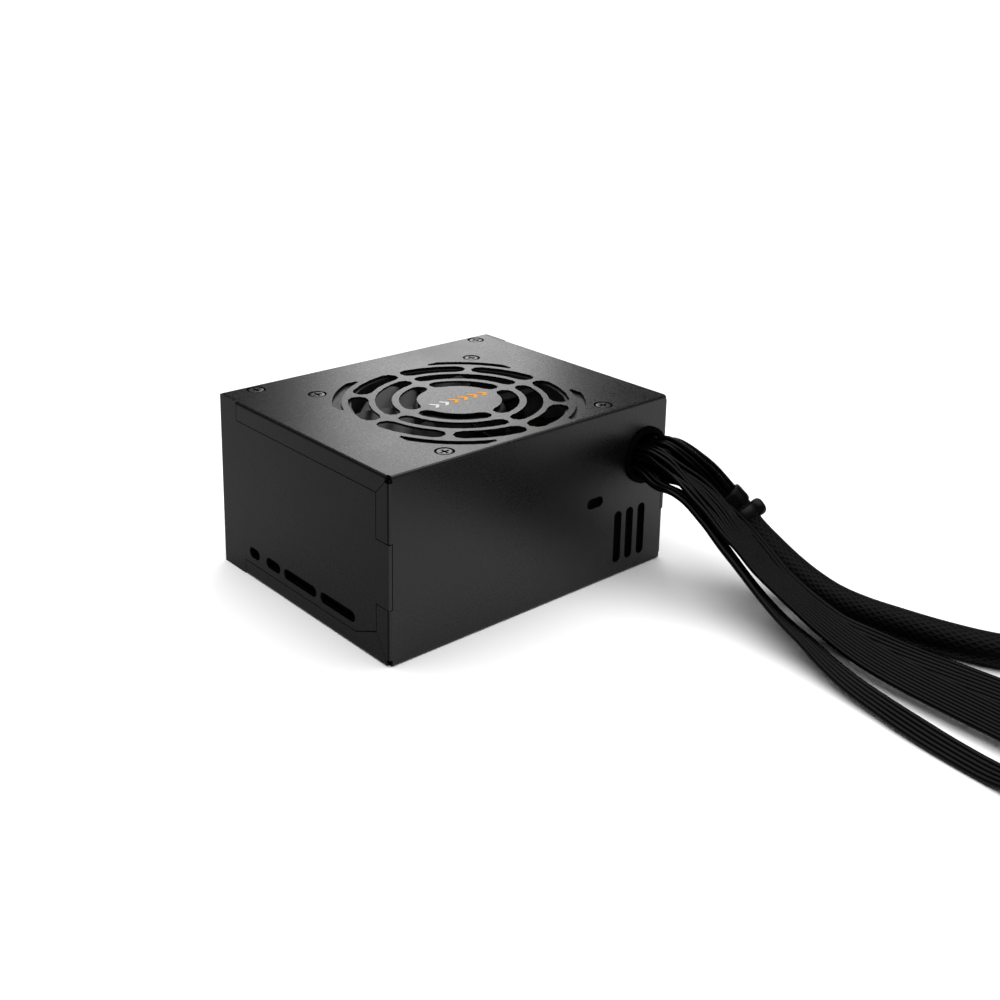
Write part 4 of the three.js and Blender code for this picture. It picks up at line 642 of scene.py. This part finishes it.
def atx_cable():
    """Two dozen loose wires out of the case, gathered by a heat-shrink band and a tie, then a braided sleeve."""
    r = Route(ATX_ROUTE, 6)
    b = Build()
    count = 24
    gold = math.pi * (3 - math.sqrt(5))
    end = 0.0385
    for i in range(count):
        rho = math.sqrt((i + 0.5) / count)
        th = i * gold
        pts, ws, ms, rad = [], [], [], []
        for j in range(len(r.p)):
            if r.s[j] > end:
                break
            half = r.width[j] / 2 - 0.95 * MM
            puff = 1.06 + 0.10 * math.sin(math.pi * min(1.0, r.s[j] / 0.036))
            a = th + r.s[j] * 9.0
            d = half * rho * puff
            du = d * math.cos(a) + 0.12 * wobble(700 + i, r.s[j], 1.0, 0.03) * MM
            dv = d * math.sin(a) + 0.12 * wobble(800 + i, r.s[j], 1.0, 0.03) * MM
            pts.append(r.p[j] + r.w[j] * du + r.m[j] * dv)
            ws.append(r.w[j])
            ms.append(r.m[j])
            rad.append(0.86 * MM)
        first = pts[0].copy()
        first.y = -0.0485
        b.tube([first] + pts, [ws[0]] + ws, [ms[0]] + ms, [rad[0]] + rad, sides=8, mat=1)
    # sleeve
    ids = [j for j in range(len(r.p)) if r.s[j] >= 0.034]
    rs = [r.width[j] / 2 - 0.1 * MM + 0.12 * MM * math.sin(r.s[j] / 0.017) * ease((r.s[j] - 0.06) / 0.02) for j in ids]
    b.tube([r.p[j] for j in ids], [r.w[j] for j in ids], [r.m[j] for j in ids], rs, sides=28)
    o = b.object("main_cable", ["braid", "wire"], replaces=("atx_cable",), smooth=60, slot="cable_black")
    path = [(r.p[0].x, -0.0485, r.p[0].z)] + [tuple(p) for p in r.p]
    return o, r, path


def ring_on(b, r, profile, sides=36, squash=None, mat=0):
    """A body of revolution round a route: profile rows are arc length in metres and radius in metres."""
    v, f = [], []
    for s, rad in profile:
        p, w, m = r.point(s)
        for j in range(sides):
            a = 2 * math.pi * j / sides
            k = 1.0 if squash is None else squash(a, s)
            v.append(p + w * (rad * k * math.cos(a)) + m * (rad * k * math.sin(a)))
    n = len(profile)
    for i in range(n):
        q = (i + 1) % n
        for j in range(sides):
            k = (j + 1) % sides
            f.append((i * sides + j, i * sides + k, q * sides + k, q * sides + j))
    b.add(v, f, mat=mat)


atx, atx_route, atx_path = atx_cable()


def heat_shrink():
    """A shrunk sleeve that shows the wires under it as soft ridges and narrows at its ends."""
    b = Build()

    def ridges(a, s):
        return 1.0 + 0.018 * math.sin(a * 9 + s * 260) + 0.01 * math.sin(a * 4 + 1.3)

    out = [(0.0308, 5.1), (0.0311, 5.45), (0.0317, 5.6), (0.0330, 5.66), (0.0342, 5.6), (0.0354, 5.66), (0.0362, 5.55), (0.0367, 5.3), (0.0369, 5.1)]
    inn = [(0.0369, 4.7), (0.0308, 4.7)]
    ring_on(b, atx_route, [(s, x * MM) for s, x in out + inn], 54, ridges)
    return b.object("main_cable_shrink", "shrink", replaces=("atx_heat_shrink",), smooth=50)


def main_tie():
    """Tie just past the heat-shrink band: strap and a rounded head."""
    b = Build()
    s0, s1 = 0.0386, 0.0426
    t = 5.6
    ring_on(b, atx_route, [(s0, (t - 0.12) * MM), (s0 + 0.0002, t * MM), (s1 - 0.0002, t * MM), (s1, (t - 0.12) * MM), (s1, 4.7 * MM), (s0, 4.7 * MM)], 48)
    p, w, m = atx_route.point((s0 + s1) / 2)
    along = w.cross(m).normalized()
    out = Vector((0.695, -0.416, 0.586))
    out = (out - along * out.dot(along)).normalized()
    across = along.cross(out)
    c = p + out * 5.7 * MM
    n, k = 20, 14
    v, f = [], []

    def power(x, e):
        return math.copysign(abs(x) ** e, x)

    for i in range(k + 1):
        ph = -math.pi / 2 + math.pi * i / k
        for j in range(n):
            th = 2 * math.pi * j / n
            v.append(c + along * (3.1 * MM * power(math.cos(ph), 0.7) * power(math.cos(th), 0.7)) + across * (3.0 * MM * power(math.cos(ph), 0.7) * power(math.sin(th), 0.7)) + out * (2.5 * MM * power(math.sin(ph), 0.8)))
    for i in range(k):
        for j in range(n):
            q = (j + 1) % n
            f.append((i * n + j, i * n + q, (i + 1) * n + q, (i + 1) * n + j))
    b.add(v, f)
    return b.object("main_cable_tie", "nylon", replaces=("atx_cable_tie",), smooth=50)


def main_fan_out():
    """The wires spread from the end of the sleeve into the two rows of the wide plug, out of a last shrunk band."""
    b = Build()
    lo20, hi20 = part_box("atx_plug_20_pin")
    lo4, hi4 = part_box("atx_plug_4_pin")
    fan_lo, fan_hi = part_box("atx_wire_fan")
    end = atx_route.p[-1]
    y_end = hi20.y + 0.0002
    xs = [(lo20.x + hi20.x) / 2 + (i - 4.5) * 4.2 * MM for i in range(10)] + [(lo4.x + hi4.x) / 2 + (i - 0.5) * 4.2 * MM for i in range(2)]
    gold = math.pi * (3 - math.sqrt(5))
    k = 0
    for row in (-1, 1):
        for x in xs:
            side = (x - end.x) / (26 * MM)
            a = Vector((end.x + side * 3.6 * MM, end.y + 0.001, end.z + row * (1.7 - 0.5 * abs(side)) * MM))
            c = Vector((x, y_end, end.z + row * 2.1 * MM))
            pts = []
            for q in range(15):
                t = q / 14
                e = ease(t)
                pts.append(Vector((a.x + (c.x - a.x) * e, a.y + (c.y - a.y) * t, a.z + (c.z - a.z) * e + wobble(900 + k, t * 0.02, 0.15, 0.02) * MM * math.sin(math.pi * t))))
            b.tube(pts, [Vector((1, 0, 0))] * 15, [Vector((0, 0, 1))] * 15, [0.86 * MM] * 15, sides=8)
            k += 1
    n = atx_route.s[-1]
    o = b.object("main_cable_fan_out", "wire", replaces=("atx_wire_fan",), smooth=60)
    c = Build()
    ring_on(c, atx_route, [(n - 0.014, 5.3 * MM), (n - 0.0135, 5.55 * MM), (n - 0.001, 5.5 * MM), (n - 0.0001, 5.1 * MM), (n - 0.0001, 4.6 * MM), (n - 0.014, 4.6 * MM)], 36)
    return o, c.object("main_cable_end_band", "shrink", smooth=50)


atx_shrink = heat_shrink()
atx_tie = main_tie()
atx_fan, atx_band = main_fan_out()
atx_20 = crimp_plug("board_plug_twenty", "atx_plug_20_pin", 10)
atx_4 = crimp_plug("board_plug_four", "atx_plug_4_pin", 2)


# ------------------------------------------------------------------ materials of the CAD nodes that stay
def skin(node, mat, bevel=0.0, smooth=35, segments=2):
    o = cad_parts[node]
    o.data.materials.clear()
    o.data.materials.append(M[mat])
    shade(o.data, smooth)
    if bevel:
        add_bevel(o, bevel, segments)


replaced = {"cpu_cable", "pcie_cable", "sata_cable", "atx_cable"}
LOOK = {
    "wrap_shell": ("coat", 0.00012),
    "u_shell": ("coat", 0.00012),
    "fan_frame": ("fan", 0.0002),
    "fan_bearing": ("brass", 0),
    "fan_shaft": ("steel", 0.0001),
    "fan_stator": ("copper", 0.0002),
    "fan_magnet": ("ferrite", 0.0001),
    "ac_inlet_housing": ("plastic", 0.0004),
    "switch_housing": ("plastic", 0.0003),
    "switch_rocker": ("plastic", 0.0004),
    "main_board": ("board", 0.0001),
    "insulation_sheet": ("film", 0),
    "primary_heatsink": ("heatsink", 0.0002),
    "secondary_heatsink": ("heatsink", 0.0002),
    "bulk_capacitor": ("can", 0.0003),
    "output_capacitor_1": ("can", 0.0003),
    "output_capacitor_2": ("can", 0.0003),
    "main_transformer": ("ferrite", 0.0005),
    "standby_transformer": ("yellow", 0.0004),
    "x_capacitor": ("yellow", 0.0006),
    "bridge_rectifier": ("plastic", 0.0003),
    "output_choke": ("copper", 0.0003),
    "emi_choke": ("copper", 0.0003),
    "pfc_choke": ("copper", 0.0003),
    "fan_lead": ("wire", 0),
    "output_loom": ("wire", 0),
    "cable_grommet": ("rubber", 0.0002),
}
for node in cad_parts:
    if node in LOOK:
        skin(node, LOOK[node][0], LOOK[node][1])
    elif node.startswith(("fan_screw", "cover_screw")):
        skin(node, "screw", 0.0001)
    elif node.startswith("board_screw"):
        skin(node, "steel", 0.0001)
    elif node.startswith("ac_inlet_pin"):
        skin(node, "brass", 0.0002)


# the left face gets a copy of the coat with far less gloss: painted shade that keeps that side darker. Countersinks and
# the cut edges along the side seams get a black with no gloss: painted shade.
SCREWS = [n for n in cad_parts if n.startswith(("fan_screw", "cover_screw"))]
AXES = []
for n in SCREWS:
    s_lo, s_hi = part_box(n)
    AXES.append(((s_lo.x + s_hi.x) / 2, (s_lo.y + s_hi.y) / 2))
for n in ("wrap_shell", "u_shell"):
    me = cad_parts[n].data
    me.materials.clear()
    for m in ("coat", "shaded_side_coat", "painted_shade"):
        me.materials.append(M[m])
    for face in me.polygons:
        c, n3 = face.center, face.normal
        near = min((c.x - x) ** 2 + (c.y - y) ** 2 for x, y in AXES) < 0.0042**2
        in_sheet = 0.0613 < abs(c.x) < 0.06245 and abs(n3.x) < 0.3 and n3.y > -0.75
        # countersinks and the side seams' cut edges take the glossless black: painted shade
        if near and abs(n3.z) < 0.95 and not 0.0012 < c.z < 0.0623:
            face.material_index = 2
        elif in_sheet and 0.002 < c.z < 0.0615 and c.y < 0.045:
            face.material_index = 2
        # left-facing faces take the low-gloss copy of the coat: painted shade
        elif n3.x < -0.7:
            face.material_index = 1
        else:
            face.material_index = 0


def countersunk_screw(node):
    """Flat head with a chamfered rim and a tapered cross recess, on a threaded shank."""
    lo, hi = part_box(node)
    x, y = (lo.x + hi.x) / 2, (lo.y + hi.y) / 2
    down = hi.z > 0.05
    s, z = (-1, hi.z) if down else (1, lo.z)
    length = (hi.z - lo.z) / MM
    bm = bmesh.new()

    def ring(pts, d):
        return [bm.verts.new((x + px * MM, y + py * MM, z + s * d * MM)) for px, py in pts]

    def circle(r):
        return [(r * math.cos(2 * math.pi * i / 48), r * math.sin(2 * math.pi * i / 48)) for i in range(48)]

    def cross(a, w):
        return [(a, w), (w, w), (w, a), (-w, a), (-w, w), (-a, w), (-a, -w), (-w, -w), (-w, -a), (w, -a), (w, -w), (a, -w)]

    def strip(p, q, mat=0):
        for i in range(len(p)):
            j = (i + 1) % len(p)
            bm.faces.new((p[i], p[j], q[j], q[i])).material_index = mat

    # The walls and floor of the cross recess and the chamfered rim of the head take the glossless black: painted shade.
    rim, floor = ring(cross(1.8, 0.42), 0), ring(cross(1.0, 0.3), 1.1)
    strip(rim, floor, 1)
    bm.faces.new(floor).material_index = 1
    profile = [(2.55, 0), (2.62, 0.02), (3.1, 0.35), (3.05, 0.5), (1.75, 1.5)]
    d = 1.7
    while d < length - 1.2:
        profile += [(1.5, d), (1.75, d + 0.25)]
        d += 0.5
    profile += [(1.5, length - 0.9), (0.7, length - 0.02)]
    rings = [ring(circle(r), d) for r, d in profile]
    for k, (p, q) in enumerate(zip(rings, rings[1:])):
        # rings 1 to 3 form the chamfered rim, in the glossless black: painted shade
        strip(p, q, 1 if k in (1, 2) else 0)
    bm.faces.new(rings[-1])
    loop = [bm.edges.get((c[i], c[(i + 1) % len(c)])) for c in (rim, rings[0]) for i in range(len(c))]
    bmesh.ops.triangle_fill(bm, use_beauty=True, edges=loop)
    bmesh.ops.recalc_face_normals(bm, faces=bm.faces)
    me = bpy.data.meshes.new(node + "_detailed")
    bm.to_mesh(me)
    bm.free()
    me.materials.append(M["screw"])
    me.materials.append(M["painted_shade"])
    shade(me, 30)
    o = bpy.data.objects.new(node + "_detailed", me)
    scene.collection.objects.link(o)
    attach(o, "case")
    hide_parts(node)


for n in SCREWS:
    countersunk_screw(n)


# ------------------------------------------------------------------ fan rotor
def rotor():
    """Domed hub and seven swept blades with a rounded leading edge and a thin trailing edge."""
    lo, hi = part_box("fan_rotor")
    flo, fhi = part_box("fan_frame")
    cx, cy = (flo.x + fhi.x) / 2, (flo.y + fhi.y) / 2
    z0, z1 = lo.z, hi.z
    b = Build()
    b.lathe((cx, cy, 0), [(r * MM, z) for r, z in ((0.0, z1 - 0.00005), (13.0, z1 - 0.00005), (15.3, z1 - 0.0002), (16.1, z1 - 0.0006), (16.45, z1 - 0.0014), (16.45, z0 + 0.0002), (16.2, z0), (15.2, z0), (15.2, z1 - 0.0015), (3.0, z1 - 0.0015), (3.0, z0 + 0.0080), (0.0, z0 + 0.0080))], 64)
    nr, nu = 14, 18
    for k in range(7):
        v = []
        for side in (1, -1):
            for i in range(nr + 1):
                for j in range(nu + 1):
                    a, u = i / nr, j / nu
                    rad = (16.2 + (36.85 - 16.2) * a) * MM
                    chord = 40 + 4 * a
                    ang = math.radians(8 + 360 / 7 * k + 13 * a * a + chord * (u - 0.5))
                    th = 0.00055 * side * (math.sin(math.pi * min(1, 0.1 + 0.88 * u)) ** 0.7) * (1.15 - 0.3 * a)
                    z = z0 + 0.0008 + (z1 - z0 - 0.0020) * (1 - u - 0.28 * u * (1 - u)) + th
                    v.append((cx + rad * math.cos(ang), cy + rad * math.sin(ang), z))
        n = (nr + 1) * (nu + 1)

        def at(s, i, j):
            return s * n + i * (nu + 1) + j

        f = []
        for i in range(nr):
            for j in range(nu):
                f.append((at(0, i, j), at(0, i + 1, j), at(0, i + 1, j + 1), at(0, i, j + 1)))
                f.append((at(1, i, j), at(1, i, j + 1), at(1, i + 1, j + 1), at(1, i + 1, j)))
        for i in range(nr):
            f.append((at(0, i, 0), at(1, i, 0), at(1, i + 1, 0), at(0, i + 1, 0)))
            f.append((at(0, i, nu), at(0, i + 1, nu), at(1, i + 1, nu), at(1, i, nu)))
        for j in range(nu):
            f.append((at(0, 0, j), at(0, 0, j + 1), at(1, 0, j + 1), at(1, 0, j)))
            f.append((at(0, nr, j), at(1, nr, j), at(1, nr, j + 1), at(0, nr, j + 1)))
        b.add(v, f)
    return b.object("fan_wheel", "fan", body="fan", smooth=40, replaces=("fan_rotor",))


rotor()


# ------------------------------------------------------------------ airflow mark on the grille's centre disc
def airflow_mark():
    """A row of plain chevrons printed on the centre disc, a hair above the coat."""
    flo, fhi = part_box("fan_frame")
    cx, cy = (flo.x + fhi.x) / 2, (flo.y + fhi.y) / 2
    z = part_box("wrap_shell")[1].z
    for name, mat, ks in (("airflow_mark_light", "grey_mark", (0, 1)), ("airflow_mark_orange", "orange_mark", (2, 3, 4, 5))):
        b = Build()
        for k in ks:
            x = cx + (-12.45 + 4.3 * k) * MM
            h, t, d = 2.2 * MM, 1.5 * MM, 1.9 * MM
            pts = [(x, cy - h), (x + t, cy - h), (x + t + d, cy), (x + t, cy + h), (x, cy + h), (x + d, cy)]
            b.prism(pts, z - 0.00005, z + 0.00006)
        b.object(name, mat, smooth=20)


airflow_mark()


# ------------------------------------------------------------------ floor, light and surroundings
def studio():
    me = bpy.data.meshes.new("floor")
    s = 1.3
    me.from_pydata([(-s, -s, 0), (s, -s, 0), (s, s, 0), (-s, s, 0)], [], [(0, 1, 2, 3)])
    floor = bpy.data.objects.new("floor", me)
    m, nt, bsdf = nodes_of("floor")
    bsdf.inputs["Base Color"].default_value = (0.93, 0.93, 0.93, 1)
    bsdf.inputs["Roughness"].default_value = 0.9
    bsdf.inputs["Specular IOR Level"].default_value = 0.1
    me.materials.append(m)
    scene.collection.objects.link(floor)

    # white backdrop, dimmer as a source of light than it looks
    w = bpy.data.worlds.new("studio")
    scene.world = w
    w.use_nodes = True
    nt = w.node_tree
    back = nt.nodes["Background"]
    back.inputs["Color"].default_value = (1, 1, 1, 1)
    path = nt.nodes.new("ShaderNodeLightPath")
    r = nt.nodes.new("ShaderNodeMapRange")
    r.inputs["To Min"].default_value = 0.05
    r.inputs["To Max"].default_value = 1.1
    nt.links.new(path.outputs["Is Camera Ray"], r.inputs["Value"])
    nt.links.new(r.outputs["Result"], back.inputs["Strength"])

    def area(name, at, to, size, power, sy=None):
        d = bpy.data.lights.new(name, "AREA")
        d.shape = "RECTANGLE"
        d.size, d.size_y = size, sy or size
        d.energy = power
        o = bpy.data.objects.new(name, d)
        o.location = at
        o.rotation_mode = "QUATERNION"
        o.rotation_quaternion = (Vector(to) - Vector(at)).to_track_quat("-Z", "Y")
        o.visible_camera = False
        scene.collection.objects.link(o)
        return o

    area("ceiling", (0, 0, 3.0), (0, 0, 0), 5.0, 240)
    # long card behind the right rear corner: the broad sheen across the top panel
    a = math.radians(38.9)
    area("rear_card", (1.6 * math.sin(a), 1.6 * math.cos(a), 0.70), (0, 0, 0.0635), 0.36, 2.6, 0.66)


studio()
scene.view_settings.view_transform = "Standard"
scene.view_settings.look = "None"
